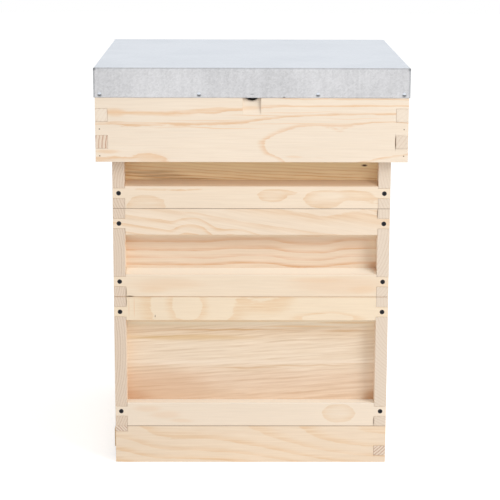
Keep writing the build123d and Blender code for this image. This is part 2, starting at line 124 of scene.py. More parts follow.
class HiveZinc(bpy.types.PropertyGroup):
    """Galvanised sheet, strips and wire."""

    colour: colour_setting("Zinc", "Dull zinc of upright faces", (216, 216, 218))
    # Painted light: faces that look up get this lighter, bluer zinc in place of the light that falls on
    # them.
    painted_upper_light: colour_setting("Upper zinc", "Cleaner, bluer zinc of faces that look up", (227, 232, 239))
    spangle: length_setting("Spangle", "Width of the zinc crystals", 2.6)
    wave: length_setting("Wave", "Waves along the free edge of the roof's skirt", 0.38)
    dent: length_setting("Dent", "Depth of the sheet's dents round the nails", 0.4)
    dent_reach: length_setting("Dent width", "Radius of a dent", 6.5)
    sheet: length_setting("Sheet", "Thickness of the roof's sheet", 0.5)
    bend: length_setting("Bend", "Outside radius of the roof's folds", 1.0)
    wire: length_setting("Wire", "Thickness of the mesh wires", 0.5)
    mesh_pitch: length_setting("Mesh pitch", "Between wires of the floor", 4.0)
    screen_pitch: length_setting("Screen pitch", "Between wires of the roof's vents", 2.4)
    slot: length_setting("Slot", "Width of the excluder's slots", 4.2)
    slot_pitch: length_setting("Slot pitch", "Between the excluder's slots", 8.0)


class HiveFasteners(bpy.types.PropertyGroup):
    """Screws of the boxes, nails and pins of the roof."""

    screw: colour_setting("Screws", "Blackened steel", (44, 44, 48))
    pin: colour_setting("Pins", "Dulled steel of the pins in the roof's corners", (150, 132, 112))
    head: length_setting("Screw head", "Radius of a screw's head", 4.0)
    shank: length_setting("Shank", "Radius of a screw's shank", 2.1)
    recess: length_setting("Recess", "Depth of the driver's cross", 1.7)
    nail_head: length_setting("Nail head", "Radius of a nail's head", 3.0)
    nail_rise: length_setting("Nail dome", "Height of a nail's head", 1.2)
    pin_head: length_setting("Pin", "Radius of a pin's head", 1.1)


class HiveStudio(bpy.types.PropertyGroup):
    """Camera, floor and lamps."""

    place: bpy.props.FloatVectorProperty(
        name="Camera", description="Where the camera stands", subtype="TRANSLATION", unit="LENGTH", size=3,
        default=(-0.0277, -3.0387, 0.9705),
    )
    turn: bpy.props.FloatVectorProperty(
        name="Aim", description="Pitch below level, yaw and roll", subtype="EULER", unit="ROTATION", size=3,
        default=(math.radians(12.05), math.radians(-0.52), math.radians(0.19)),
    )
    lens: plain_setting("Lens", "Focal length on a 36 mm wide picture, in millimetres", 124.1)
    floor: colour_setting("Floor", "Plain pale floor", (240, 240, 240))
    key: plain_setting("Key", "Power of the large lamp on the right, in watts", 44.0)
    fill: plain_setting("Fill", "Power of the lamp on the left, in watts", 4.0)
    ambient: plain_setting("Ambient", "Light from all round", 0.64)


class Wiring:
    """Adds shader nodes to one tree and joins them; any input takes a socket or a plain value."""

    def __init__(self, tree):
        self.tree = tree

    def node(self, kind, **settings):
        made = self.tree.nodes.new(kind)
        for name, value in settings.items():
            setattr(made, name, value)
        return made

    def feed(self, socket, value):
        if isinstance(value, bpy.types.NodeSocket):
            self.tree.links.new(value, socket)
        elif value is not None:
            socket.default_value = value

    def math(self, operation, first, second=None, third=None):
        made = self.node("ShaderNodeMath", operation=operation)
        for socket, value in zip(made.inputs, (first, second, third)):
            self.feed(socket, value)
        return made.outputs[0]

    def vector(self, operation, first, second=None):
        made = self.node("ShaderNodeVectorMath", operation=operation)
        self.feed(made.inputs[0], first)
        self.feed(made.inputs[1], second)
        return made.outputs["Value" if operation in ("LENGTH", "DOT_PRODUCT") else "Vector"]

    def shade(self, colour, factor):
        """The colour made lighter or darker by a factor."""
        made = self.node("ShaderNodeVectorMath", operation="SCALE")
        self.feed(made.inputs[0], colour)
        self.feed(made.inputs["Scale"], factor)
        return made.outputs["Vector"]

    def ramp(self, value, start, end, low=0.0, high=1.0):
        """Goes smoothly from low to high while the value goes from start to end."""
        made = self.node("ShaderNodeMapRange", interpolation_type="SMOOTHSTEP")
        names = ("Value", "From Min", "From Max", "To Min", "To Max")
        for name, given in zip(names, (value, start, end, low, high)):
            self.feed(made.inputs[name], given)
        return made.outputs["Result"]

    def mix(self, factor, first, second):
        made = self.node("ShaderNodeMix", data_type="RGBA")
        for index, value in ((0, factor), (6, first), (7, second)):
            self.feed(made.inputs[index], (*value, 1.0) if isinstance(value, tuple) else value)
        return made.outputs[2]

    def clouds(self, vector, stretch, detail=2.0):
        """Cloudy values and cloudy places about 0.5, with so many clouds in a metre each way."""
        made = self.node("ShaderNodeTexNoise")
        self.feed(made.inputs["Vector"], self.vector("MULTIPLY", vector, stretch))
        made.inputs["Scale"].default_value = 1.0
        made.inputs["Detail"].default_value = detail
        return made.outputs

    def noise(self, vector, stretch, detail=2.0):
        return self.clouds(vector, stretch, detail)[0]

    def sway(self, vector, swing, reach):
        """Places moved by a swing about 0.5 times a reach."""
        away = self.vector("SUBTRACT", swing, (0.5, 0.5, 0.5))
        return self.vector("ADD", vector, self.shade(away, reach))

    def drift(self, vector, stretch, reach):
        """Places moved about by up to half a reach, with so many swings in a metre each way."""
        return self.sway(vector, self.clouds(vector, stretch)[1], reach)

    def place(self, group, **values):
        """A copy of a group in this tree; underscores in keywords stand for spaces in sockets' names."""
        made = self.node("ShaderNodeGroup", node_tree=group)
        for name, value in values.items():
            self.feed(made.inputs[name.replace("_", " ")], value)
        return made.outputs


def new_group(name, inputs, outputs):
    """Makes a node group with named sockets; gives its wiring and its inner input and output sockets."""
    tree = bpy.data.node_groups.new(name, "ShaderNodeTree")
    for label, kind in inputs.items():
        tree.interface.new_socket(label, in_out="INPUT", socket_type="NodeSocket" + kind)
    for label, kind in outputs.items():
        tree.interface.new_socket(label, in_out="OUTPUT", socket_type="NodeSocket" + kind)
    wiring = Wiring(tree)
    return wiring, wiring.node("NodeGroupInput").outputs, wiring.node("NodeGroupOutput").inputs


def swelling_group():
    """Adds a flat-topped hill: height times e to minus the fourth power of distance over reach."""
    if "Swelling" in bpy.data.node_groups:
        return bpy.data.node_groups["Swelling"]
    inputs = {"Vector": "Vector", "Rise": "Float", "Centre": "Vector", "Reach": "Vector", "Height": "Float"}
    w, given, out = new_group("Swelling", inputs, {"Rise": "Float"})
    away = w.vector("DIVIDE", w.vector("SUBTRACT", given["Vector"], given["Centre"]), given["Reach"])
    square = w.vector("DOT_PRODUCT", away, away)
    hill = w.math("EXPONENT", w.math("MULTIPLY", w.math("MULTIPLY", square, square), -1.0))
    w.feed(out["Rise"], w.math("MULTIPLY_ADD", hill, given["Height"], given["Rise"]))
    return w.tree


FINISH_SOCKETS = {"Color": "Color", "Roughness": "Float", "Height": "Float"}
WARM_STREAK = (0.7, 1.0, 1.35)
# Clouds in a metre along the grain and twice across it; bends also have how far they move the wood.
SLOW_BEND = (4, 14, 14)
QUICK_BENDS = (((28, 140, 140), 1.9 * MM), ((95, 420, 420), 0.6 * MM))
STREAK_BEND = ((8, 25, 25), 5 * MM)
STREAKS = (15, 330, 330)
FIBRES = (18, 620, 620)
BLOTCHES = (3, 9, 9)
PORES = (40, 1100, 1100)


def figure_group():
    """Growth rings cut by a board: distance from the log's heart, in ring widths, wanders with slow noise.

    Within one ring the wood darkens slowly towards the bark and ends at a sharp edge. Rings differ in
    strength, streaks and fibres run along the heart (local X), and sawn ends show rings over fine pores.
    """
    if "Pine figure" in bpy.data.node_groups:
        return bpy.data.node_groups["Pine figure"]
    values = ("Rise", "End Grain", "Ring", "Wander", "Uneven", "Seed", "Band", "Streaks")
    tones = ("Early", "Late", "End", "End Line")
    inputs = {"Vector": "Vector", **dict.fromkeys(values, "Float"), **dict.fromkeys(tones, "Color")}
    w, given, out = new_group("Pine figure", inputs, FINISH_SOCKETS)
    shift = w.node("ShaderNodeCombineXYZ")
    for socket in shift.inputs:
        w.feed(socket, given["Seed"])
    apart = w.vector("ADD", given["Vector"], shift.outputs[0])
    reach = w.vector("LENGTH", w.vector("MULTIPLY", given["Vector"], (0, 1, 1)))
    radius = w.math("ADD", reach, given["Rise"])
    for stretch, amount in ((SLOW_BEND, given["Wander"]), *QUICK_BENDS):
        sway = w.math("SUBTRACT", w.noise(apart, stretch), 0.5)
        radius = w.math("MULTIPLY_ADD", sway, amount, radius)
    years = w.math("DIVIDE", radius, given["Ring"])
    lean = w.node("ShaderNodeTexNoise", noise_dimensions="1D")
    w.feed(lean.inputs["W"], w.math("MULTIPLY_ADD", years, 0.37, given["Seed"]))
    lean.inputs["Scale"].default_value = 1.0
    years = w.math("MULTIPLY_ADD", w.math("SUBTRACT", lean.outputs[0], 0.5), given["Uneven"], years)
    season = w.math("FRACT", years)
    lot = w.node("ShaderNodeTexWhiteNoise", noise_dimensions="1D")
    w.feed(lot.inputs["W"], w.math("ADD", w.math("FLOOR", years), given["Seed"]))
    strength = w.ramp(lot.outputs["Value"], 0.0, 1.0, 0.6, 1.0)
    close = w.math("MULTIPLY", w.ramp(season, 0.94, 1.0, 1.0, 0.0), strength)
    line = w.math("MULTIPLY", w.ramp(season, given["Band"], 0.95), close)
    streak = w.noise(w.drift(apart, *STREAK_BEND), STREAKS, 3.0)
    late = w.math("MULTIPLY", line, w.ramp(streak, 0.25, 0.75, 0.45, 1.1))
    fibre = w.noise(apart, FIBRES, 3.0)
    blotch = w.ramp(w.noise(apart, BLOTCHES), 0.3, 0.7, 0.975, 1.015)
    tone = w.math("MULTIPLY_ADD", w.math("SUBTRACT", fibre, 0.5), 0.10, blotch)
    dark = w.math("MULTIPLY", w.math("SUBTRACT", streak, 0.5), given["Streaks"])
    streaked = w.vector("SUBTRACT", (1, 1, 1), w.shade(WARM_STREAK, dark))
    long_wood = w.shade(w.vector("MULTIPLY", w.mix(late, given["Early"], given["Late"]), streaked), tone)
    pores = w.noise(apart, PORES)
    end_wood = w.mix(w.math("MULTIPLY", w.ramp(season, 0.45, 0.9), close), given["End"], given["End Line"])
    end_wood = w.shade(end_wood, w.ramp(pores, 0.25, 0.75, 0.95, 1.04))
    w.feed(out["Color"], w.mix(given["End Grain"], long_wood, end_wood))
    w.feed(out["Roughness"], w.math("MULTIPLY_ADD", late, -0.12, w.ramp(fibre, 0.3, 0.7, 0.58, 0.68)))
    w.feed(out["Height"], w.math("MULTIPLY_ADD", late, 0.6, w.math("MULTIPLY", fibre, 0.4)))
    return w.tree


# Clouds in a metre each way; feathers also have how far they move a crystal's edge, in metres.
FEATHERS = (420, 420, 420)
FEATHER_REACH = 6 * MM
ROLLING = (150, 150, 9)
BLOOM = (11, 11, 11)


def spangle_group():
    """Zinc crystals: cells with a tone each, feathered by noise, under rolling streaks and a dull bloom."""
    if "Zinc spangle" in bpy.data.node_groups:
        return bpy.data.node_groups["Zinc spangle"]
    inputs = {"Vector": "Vector", "Size": "Float", "Contrast": "Float", "Zinc": "Color"}
    w, given, out = new_group("Zinc spangle", inputs, FINISH_SOCKETS)
    feather = w.noise(given["Vector"], FEATHERS, 3.0)
    cells = w.node("ShaderNodeTexVoronoi")
    w.feed(cells.inputs["Vector"], w.sway(given["Vector"], feather, FEATHER_REACH))
    w.feed(cells.inputs["Scale"], w.math("DIVIDE", 1.0, given["Size"]))
    lots = w.node("ShaderNodeSeparateColor")
    w.feed(lots.inputs[0], cells.outputs["Color"])
    streak = w.noise(given["Vector"], ROLLING)
    bloom = w.noise(given["Vector"], BLOOM, 3.0)
    crystal = w.ramp(lots.outputs[0], 0, 1, -0.065, 0.045)
    tone = w.math("ADD", crystal, w.ramp(streak, 0.3, 0.7, -0.03, 0.03))
    tone = w.math("ADD", tone, w.ramp(bloom, 0.35, 0.7, 0.025, -0.045))
    w.feed(out["Color"], w.shade(given["Zinc"], w.math("MULTIPLY_ADD", tone, given["Contrast"], 1.0)))
    dullness = w.ramp(lots.outputs[1], 0, 1, 0.5, 0.6)
    w.feed(out["Roughness"], w.math("ADD", dullness, w.ramp(bloom, 0.3, 0.7, 0, 0.1)))
    w.feed(out["Height"], w.math("MULTIPLY_ADD", lots.outputs[2], 0.5, w.math("MULTIPLY", streak, 0.5)))
    return w.tree


def new_material(name):
    """An empty material with its wiring, its principled shader and a source of coordinates."""
    material = bpy.data.materials.new(name)
    material.use_nodes = True
    material.node_tree.nodes.clear()
    w = Wiring(material.node_tree)
    shader = w.node("ShaderNodeBsdfPrincipled")
    output = w.node("ShaderNodeOutputMaterial")
    w.feed(output.inputs["Surface"], shader.outputs[0])
    return material, w, shader, w.node("ShaderNodeTexCoord").outputs


def lay_tone(w, vector, colour, place, reach, strength, tone):
    """Lays a tone over a colour within a reach of a place, both in millimetres: a real mark, or painted
    light or shade.
    """
    centre = tuple(value * MM for value in place)
    span = tuple(value * MM for value in reach)
    mask = w.place(swelling_group(), Vector=vector, Centre=centre, Reach=span, Height=strength)["Rise"]
    return w.mix(mask, colour, tint(*tone))


def finish(w, shader, colour, roughness, height, relief):
    """Joins colour, roughness and height to the shader; the relief is what a height of one stands for."""
    bump = w.node("ShaderNodeBump")
    bump.inputs["Distance"].default_value = relief
    w.feed(bump.inputs["Height"], height)
    w.feed(shader.inputs["Base Color"], colour)
    w.feed(shader.inputs["Roughness"], roughness)
    w.feed(shader.inputs["Normal"], bump.outputs[0])


def finish_wood(w, shader, colour, figure, relief):
    """Joins a wood figure to the shader, duller than varnish."""
    finish(w, shader, colour, figure["Roughness"], figure["Height"], relief)
    shader.inputs["Specular IOR Level"].default_value = 0.3


def mottled_steel(name, colour, clouds, detail, between, tones, roughness, metallic):
    """Steel whose tone and roughness follow one fine noise, each between a pair of values."""
    material, w, shader, coordinates = new_material(name)
    spots = w.noise(coordinates["Object"], clouds, detail)
    w.feed(shader.inputs["Base Color"], w.shade(tuple(colour), w.ramp(spots, *between, *tones)))
    w.feed(shader.inputs["Roughness"], w.ramp(spots, 0.3, 0.7, *roughness))
    shader.inputs["Metallic"].default_value = metallic
    return material


class Swell(NamedTuple):
    """A hill in the rings under one spot of a front board; place, reach and height in millimetres."""

    x: float
    z: float
    reach_x: float
    reach_z: float
    height: float


class Spot(NamedTuple):
    """A knot, stain, change of tone, or painted light or shade on a front board, such as the painted shade
    in a seam; place and reach in millimetres.
    """

    x: float
    z: float
    reach_x: float
    reach_z: float
    strength: float
    tone: tuple
    depth: float = EVERYWHERE


def toned(tone, *rows):
    """Spots of one tone; a row has a spot's place, reach and strength."""
    return tuple(Spot(*row, tone) for row in rows)


class Cut(NamedTuple):
    """How a board lay in its log, in millimetres: its heart's place, ring width and how far rings wander.

    The season, from 0 to 1, is how much of a ring's growth shows on the face straight over the heart,
    and the band is where in a ring the dark wood starts. A negative ring turns the sharp edges towards
    the heart. Spots have wandering outlines and seams straight ones. Both hold knots, stains and grain
    lines, and also painted light and painted shade, such as the dark lines painted in the gaps between
    parts.
    """

    heart: tuple
    ring: float
    wander: float
    season: float = 0.3
    slope: float = 0.0
    uneven: float = 0.0
    band: float = 0.38
    streaks: float = 0.12
    early: tuple = (1.0, 1.0, 1.0)
    late: tuple = (1.0, 1.0, 1.0)
    end_line: tuple = (0.92, 0.89, 0.86)
    swells: tuple = ()
    spots: tuple = ()
    seams: tuple = ()


AXES = {"X": (0, 0, 0), "Y": (0, 0, -math.pi / 2), "Z": (0, math.pi / 2, 0)}
GRAIN_AXIS = {"X": (1, 0, 0), "Y": (0, 1, 0), "Z": (0, 0, 1)}
GRAIN_ALONG_Y = (
    "_wall", "_right_board", "_left_board", "_sill", "_tail_rail", "entrance_block", "roof_battens",
)
WANDERING = ((14, 45, 45), 9 * MM)
CLEARANCE = 0.01 * MM
# Painted shade in the narrow gaps where boards and boxes meet.
JOINT_SHADE = (112, 78, 52)
# Painted shade inside the roof's vent hole.
VENT_HOLE_SHADE = (40, 28, 20)
GOLDEN = (242, 206, 168)
# Painted light along the excluder's front and back rims.
RIM_LIGHT = (248, 226, 196)
SHADED = (198, 137, 81)
UMBER = (150, 104, 66)
SUNLIT = (255, 236, 206)
TAWNY = (216, 174, 126)
AMBER = (236, 192, 134)
DARK_STRIPES = (0.68, 0.48, 0.40)
SOFT_STRIPES = (0.84, 0.79, 0.74)
# Painted shade in the gap between the two stacked supers.
SUPER_JOINT_SHADE = Spot(0, 441, 900, 0.55, 0.65, JOINT_SHADE, 2)

# Boards that face the camera. The heart is (Y, Z); tones multiply the plain pine colours.
FRONT_CUTS = {
    "roof_front_board": Cut(
        heart=(-55, 552), ring=-6, wander=3, season=0.4, band=0.68, early=(1.0, 0.98, 0.96),
        late=(0.98, 0.91, 0.84),
        swells=(
            Swell(-150, 604, 260, 15, 2.6), Swell(190, 600, 200, 24, -3.6), Swell(90, 550, 80, 36, -6.4),
            Swell(250, 550, 95, 36, -6.4), Swell(205, 580, 70, 12, -2.5), Swell(130, 520, 80, 18, -4),
            Swell(-235, 516, 85, 24, 1.7), Swell(-167, 528, 26, 14, 1.4), Swell(290, 506, 100, 36, 6),
            Swell(185, 624, 140, 18, 2.6),
        ),
        spots=toned(
            GOLDEN, (-222, 603, 17, 7, 0.7), (-160, 602, 60, 3, 0.6), (-60, 609, 60, 2.4, 0.6),
            (150, 615, 110, 1.6, 0.6), (-70, 579.5, 80, 0.9, 0.8), (-75, 591.5, 60, 0.9, 0.6),
            (5, 600, 40, 0.9, 0.7), (75, 605, 60, 0.8, 0.5), (-150, 586, 60, 0.7, 0.5),
            (95, 600, 80, 0.8, 0.6), (165, 594, 50, 0.7, 0.5), (75, 586, 80, 0.8, 0.6),
            (70, 533, 14, 2, 0.4), (-166, 529, 26, 9, 0.55), (-236, 540, 20, 3, 0.6),
        ),
        # Painted shade in the gap by the right finger and inside the vent hole, and a golden patch below
        # the vent.
        seams=(
            Spot(234.4, 556, 0.9, 12, 1.0, JOINT_SHADE, 2), Spot(0, 636, 11, 11, 3.0, VENT_HOLE_SHADE),
            Spot(0, 612, 16, 3, 0.5, GOLDEN),
        ),
    ),
    "upper_super_front_panel": Cut(
        heart=(-150, 640), ring=5, wander=16, season=0.3, slope=-0.05, uneven=1.0, streaks=0.35,
        early=(0.95, 0.80, 0.57), late=(0.84, 0.65, 0.43),
        spots=toned(UMBER, (-150, 492, 40, 2.5, 0.5), (-120, 487, 60, 2, 0.5), (-170, 498, 45, 3, 0.45)),
        # Painted light across the top of the panel under the roof, and a small dark mark at the right.
        seams=(Spot(70, 515, 250, 13, 0.6, (255, 228, 180)), Spot(188, 510, 4.5, 1.8, 1.0, (72, 34, 18))),
    ),
    "upper_super_front_bottom_rail": Cut(
        heart=(600, 470), ring=6, wander=1, season=0.14, early=(1.0, 0.96, 0.91), late=(1.0, 1.05, 1.1),
        swells=(
            Swell(-175, 446, 32, 17, -3.2), Swell(34, 463, 24, 10, -3.0), Swell(62, 469, 20, 4, -1.4),
            Swell(118, 457, 32, 16, -3.2), Swell(160, 464, 46, 9, -2.6), Swell(205, 452, 40, 8, -1.4),
            Swell(-130, 474, 70, 3, -1.4),
        ),
        # Painted shade in the seam between the supers, and on the bevel where the roof shades it.
        seams=(SUPER_JOINT_SHADE, Spot(0, 484, 900, 5.5, 0.45, (186, 136, 84))),
    ),
    "lower_super_front_top_rail": Cut(
        heart=(-120, 470), ring=-9, wander=5, season=0.25, slope=-0.16, early=(0.99, 0.94, 0.89),
        late=(1.0, 1.02, 1.04), streaks=0.2,
        swells=(Swell(190, 420, 60, 30, 3), Swell(-97, 404, 29, 26, 9), Swell(-22, 396, 26, 10, 5)),
        # Painted shade in the seam between the supers and in the gap by the right finger.
        seams=(SUPER_JOINT_SHADE, Spot(209, 433, 0.9, 8, 0.7, JOINT_SHADE, 2)),
    ),
    "lower_super_front_panel": Cut(
        heart=(-130, 450), ring=10, wander=5, season=0.2, streaks=0.2, early=(0.94, 0.86, 0.79),
        late=(0.90, 0.78, 0.70),
        swells=(Swell(0, 375, 60, 60, 3), Swell(95, 365, 50, 60, -3), Swell(190, 365, 50, 60, 2)),
        # Painted light under the top rail and at the right end, painted shade in the lower right corner,
        # and a tan band below the rail.
        seams=(
            Spot(0, 379, 900, 9, 0.25, (226, 184, 146)), Spot(0, 398, 900, 9, 1.0, (255, 238, 212)),
            Spot(213, 378, 18, 26, 0.35, SUNLIT), Spot(213, 338, 17, 8, 0.6, SHADED),
        ),
    ),
    "lower_super_front_bottom_rail": Cut(
        heart=(600, 312), ring=8, wander=2, season=0.12, early=(1.0, 0.95, 0.88), late=(1.0, 1.09, 1.16),
        spots=(
            Spot(-140, 312, 60, 9, 0.35, (240, 204, 168)), Spot(150, 311, 80, 15, 0.4, (240, 206, 174)),
            *toned(GOLDEN, (-165, 302, 24, 6, 0.35), (110, 320, 45, 5, 0.35), (188, 303, 26, 6, 0.4)),
        ),
        # Painted shade in the gap at the left under the rail and by the left finger, painted light on the
        # bevel, and painted shade at the bevel's right end.
        seams=(
            Spot(-203.5, 291.2, 7, 1.3, 1.0, (84, 52, 28), 2), Spot(0, 334, 900, 6, 1.0, (255, 246, 230)),
            Spot(216, 337, 15, 6, 0.7, SHADED), Spot(-209, 299, 0.8, 8, 0.6, JOINT_SHADE, 2),
        ),
    ),
    "brood_front_top_rail": Cut(
        heart=(900, 274), ring=7, wander=3, season=0.3, early=(1.0, 0.95, 0.86), late=(1.0, 1.02, 1.0),
        swells=(
            Swell(-100, 280, 84, 70, 7), Swell(-108, 277, 36, 40, 6), Swell(130, 253, 58, 11, 6),
            Swell(30, 292, 45, 34, 4),
        ),
        spots=(Spot(-161, 258, 0.8, 2.5, 0.8, (110, 70, 40)),),
        # Painted shade in the gap by the left finger, and two golden lines beside it.
        seams=(
            Spot(-209, 282, 0.8, 8, 0.6, JOINT_SHADE, 2), Spot(-205, 273, 0.9, 18, 0.6, GOLDEN, 2),
            Spot(-196, 273, 0.9, 18, 0.6, GOLDEN, 2),
        ),
    ),
    "brood_front_panel": Cut(
        heart=(-100, 60), ring=4.8, wander=8, season=0.3, slope=0.07, uneven=1.0, band=0.4, streaks=0.58,
        early=(0.96, 0.903, 0.838), late=(0.90, 0.98, 1.08), swells=(Swell(73, 236, 80, 34, -5),),
        spots=(
            Spot(0, 187, 420, 22, 0.35, (243, 223, 199)), Spot(0, 225, 420, 12, 0.2, (224, 186, 140)),
            Spot(0, 125, 420, 38, 0.3, (230, 182, 148)), Spot(-160, 128, 90, 34, 0.35, (216, 166, 124)),
            Spot(-130, 238, 110, 6, 0.4, (222, 182, 118)), Spot(-120, 214, 120, 5, 0.5, (222, 182, 118)),
            # Painted shade in the lower left corner of the recess.
            Spot(-212, 110, 40, 13, 0.4, (196, 136, 88)),
            *toned(
                TAWNY, (-40, 227, 100, 1.5, 0.8), (160, 226, 40, 1.8, 0.6), (-10, 161, 60, 1.2, 0.5),
                (90, 165, 70, 1.2, 0.5), (180, 168, 40, 1.2, 0.4),
            ),
        ),
        # Painted light under the top rail and at the right end, a pale line and amber lines, and painted
        # shade in the lower right corner.
        seams=(
            Spot(0, 251, 900, 17, 0.95, (255, 244, 222)), Spot(0, 171, 900, 3, 0.5, (252, 234, 214)),
            *toned(AMBER, (-60, 243, 180, 2.2, 0.4), (165, 240, 50, 2.2, 0.5), (85, 233.5, 60, 1.6, 0.5)),
            Spot(213, 234, 18, 26, 0.35, SUNLIT), Spot(212, 102, 20, 20, 0.6, SHADED),
        ),
    ),
    "brood_front_bottom_rail": Cut(
        heart=(700, 88), ring=9, wander=2, season=0.15, streaks=0.06, early=(1.0, 0.98, 0.96),
        late=(1.0, 1.08, 1.16), swells=(Swell(148, 88, 27, 16, -5.0),),
        spots=toned(
            (240, 208, 176), (-175, 95, 22, 5, 0.4), (-145, 85, 26, 6, 0.4), (-118, 75, 20, 4, 0.4),
        ),
        # Painted light along the rail's top edge, and painted shade in the gap by the right finger.
        seams=(Spot(0, 105, 900, 0.7, 1.0, (252, 244, 230)), Spot(209, 73, 0.9, 8, 0.7, JOINT_SHADE, 2)),
    ),
    "floor_front_board": Cut(
        heart=(-130, 72), ring=8, wander=2, season=0.64, band=0.42, streaks=0.2, early=(0.98, 0.92, 0.855),
        late=(1.0, 1.02, 1.01), swells=(Swell(-230, 32, 330, 900, 23), Swell(-270, 40, 95, 60, 8)),
        # Painted shade in the seam under the brood box.
        seams=(Spot(0, 65, 900, 1.0, 0.6, JOINT_SHADE, 2),),
    ),
}
# Side boards whose sawn ends show on the front. The heart is (X, Z).
LEFT_WALL = Cut(heart=(-520, 200), ring=4.2, wander=3, early=(0.98, 0.95, 0.93), end_line=SOFT_STRIPES)
SIDE_CUTS = {
    "roof_left_board": Cut(
        heart=(-160, 548), ring=5.8, wander=2, early=(1.04, 1.02, 1.0), end_line=DARK_STRIPES,
        seams=(Spot(-245, 600, 15, 15, 0.9, (249, 234, 215), 3),),
    ),
    "roof_right_board": Cut(
        heart=(320, 500), ring=6, wander=2, seams=(Spot(245, 600, 15, 15, 0.6, (249, 234, 215), 3),),
    ),
    "floor_sill": Cut(heart=(165, 80), ring=4.4, wander=1, end_line=DARK_STRIPES),
    "floor_tail_rail": Cut(heart=(-270, 10), ring=4, wander=1, end_line=DARK_STRIPES),
    "brood_left_wall": LEFT_WALL,
    "brood_right_wall": Cut(heart=(320, 290), ring=4.8, wander=4),
    # The supers' side walls carry painted shade in the seam between them.
    "lower_super_left_wall": LEFT_WALL._replace(heart=(-450, 350), ring=4, seams=(SUPER_JOINT_SHADE,)),
    "lower_super_right_wall": Cut(heart=(60, 420), ring=5, wander=3, seams=(SUPER_JOINT_SHADE,)),
    "upper_super_left_wall": LEFT_WALL._replace(heart=(-150, 480), ring=4.4, seams=(SUPER_JOINT_SHADE,)),
    "upper_super_right_wall": Cut(heart=(420, 540), ring=5, wander=3, seams=(SUPER_JOINT_SHADE,)),
}


def dyed(colour, factors):
    """A colour times one factor for each channel, with full alpha."""
    return (*np.multiply(colour, factors), 1.0)


def pine_figure(w, coordinates, axis, cut, seed, looks):
    """Turns the pattern so that the heart runs along the board's axis, and cuts the rings there."""
    slope = Euler((0, cut.slope, 0)).to_matrix()
    turn = slope @ Euler(AXES[axis]).to_matrix()
    mapping = w.node("ShaderNodeMapping")
    w.feed(mapping.inputs["Vector"], coordinates["Object"])
    mapping.inputs["Rotation"].default_value = turn.to_euler()
    mapping.inputs["Location"].default_value = -(turn @ Vector(cut.heart))
    rise = cut.season * cut.ring * MM
    loose = w.drift(coordinates["Object"], *WANDERING) if cut.swells else None
    for swell in cut.swells:
        rise = w.place(
            swelling_group(), Vector=loose, Rise=rise, Centre=(swell.x * MM, 0, swell.z * MM),
            Reach=(swell.reach_x * MM, EVERYWHERE, swell.reach_z * MM), Height=swell.height * MM,
        )["Rise"]
    facing = w.math("ABSOLUTE", w.vector("DOT_PRODUCT", coordinates["Normal"], GRAIN_AXIS[axis]))
    end = np.multiply(looks.end, cut.early)
    return w.place(
        figure_group(), Vector=mapping.outputs[0], Rise=rise, End_Grain=w.ramp(facing, 0.6, 0.8),
        Ring=cut.ring * MM, Wander=cut.wander * MM, Uneven=cut.uneven, Seed=seed, Band=cut.band,
        Streaks=cut.streaks, Early=dyed(looks.early, cut.early), Late=dyed(looks.late, cut.late),
        End=(*end, 1.0), End_Line=dyed(end, cut.end_line),
    )


def pine_material(name, axis, cut, seed, looks, face=0.0):
    """Wood with a cut's rings, spots and seams; the face is the depth in metres where shallow spots lie."""
    material, w, shader, coordinates = new_material(name)
    figure = pine_figure(w, coordinates, axis, cut, seed, looks)
    colour = figure["Color"]
    loose = w.drift(coordinates["Object"], *WANDERING) if cut.spots else None
    for spots, vector in ((cut.spots, loose), (cut.seams, coordinates["Object"])):
        for spot in spots:
            reach = (spot.reach_x, spot.depth, spot.reach_z)
            colour = lay_tone(w, vector, colour, (spot.x, face / MM, spot.z), reach, spot.strength, spot.tone)
    finish_wood(w, shader, colour, figure, looks.relief)
    return material


def chance_cut(node, axis, ring, rng):
    """A cut for a board that isn't listed: its heart lies 40 to 110 mm off its middle, past a wide face."""
    low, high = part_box(node)
    across = [index for index in range(3) if "XYZ"[index] != axis]
    thin, wide = sorted(across, key=lambda index: high[index] - low[index])
    heart = (low + high) / 2
    heart[thin] += rng.choice((-1, 1)) * rng.uniform(0.04, 0.11)
    heart[wide] += rng.uniform(-0.25, 0.25) * (high[wide] - low[wide])
    warmth = rng.uniform(0.88, 1.0)
    tone = (1.0, 0.5 + 0.5 * warmth, warmth)
    return Cut(
        heart=tuple(heart), ring=ring / MM * rng.uniform(0.7, 1.4), wander=rng.uniform(2, 6), uneven=1.0,
        early=tone, late=tone,
    )


# How far apart points may be that a weld joins: CAD corners, a turned piece's poles, a fold's rows.
LOOSE_CORNERS = 0.02 * MM
POLES = 0.005 * MM
FOLD_ROWS = 0.01 * MM


def weld(piece, name, reach):
    joined = piece.modifiers.new(name, "WELD")
    joined.merge_threshold = reach


def thicken(piece, thickness):
    """Gives a sheet its thickness, inwards from the surface that was drawn."""
    wall = piece.modifiers.new("sheet", "SOLIDIFY")
    wall.thickness = thickness
    wall.offset = -1.0


def round_edges(piece, width):
    """Joins a CAD mesh's loose triangles and rounds its sharp edges, without touching the mesh itself.

    The faces are then drawn in by a hair, so that a board doesn't share a plane with the one it stands on.
    """
    weld(piece, "joined", LOOSE_CORNERS)
    edges = piece.modifiers.new("planed edges", "BEVEL")
    edges.width = width
    edges.segments = 2
    edges.limit_method = "ANGLE"
    edges.angle_limit = math.radians(40)
    edges.harden_normals = True
    hair = piece.modifiers.new("clearance", "DISPLACE")
    hair.strength = -CLEARANCE
    hair.mid_level = 0.0


def cover(node, material):
    """Gives a CAD node its material."""
    piece = frame["nodes"][node]
    for slot in piece.material_slots:
        slot.material = material
    return piece


def nodes_of(slot):
    return [part["node"] for part in frame["record"]["subparts"] if part["material_slot"] == slot]


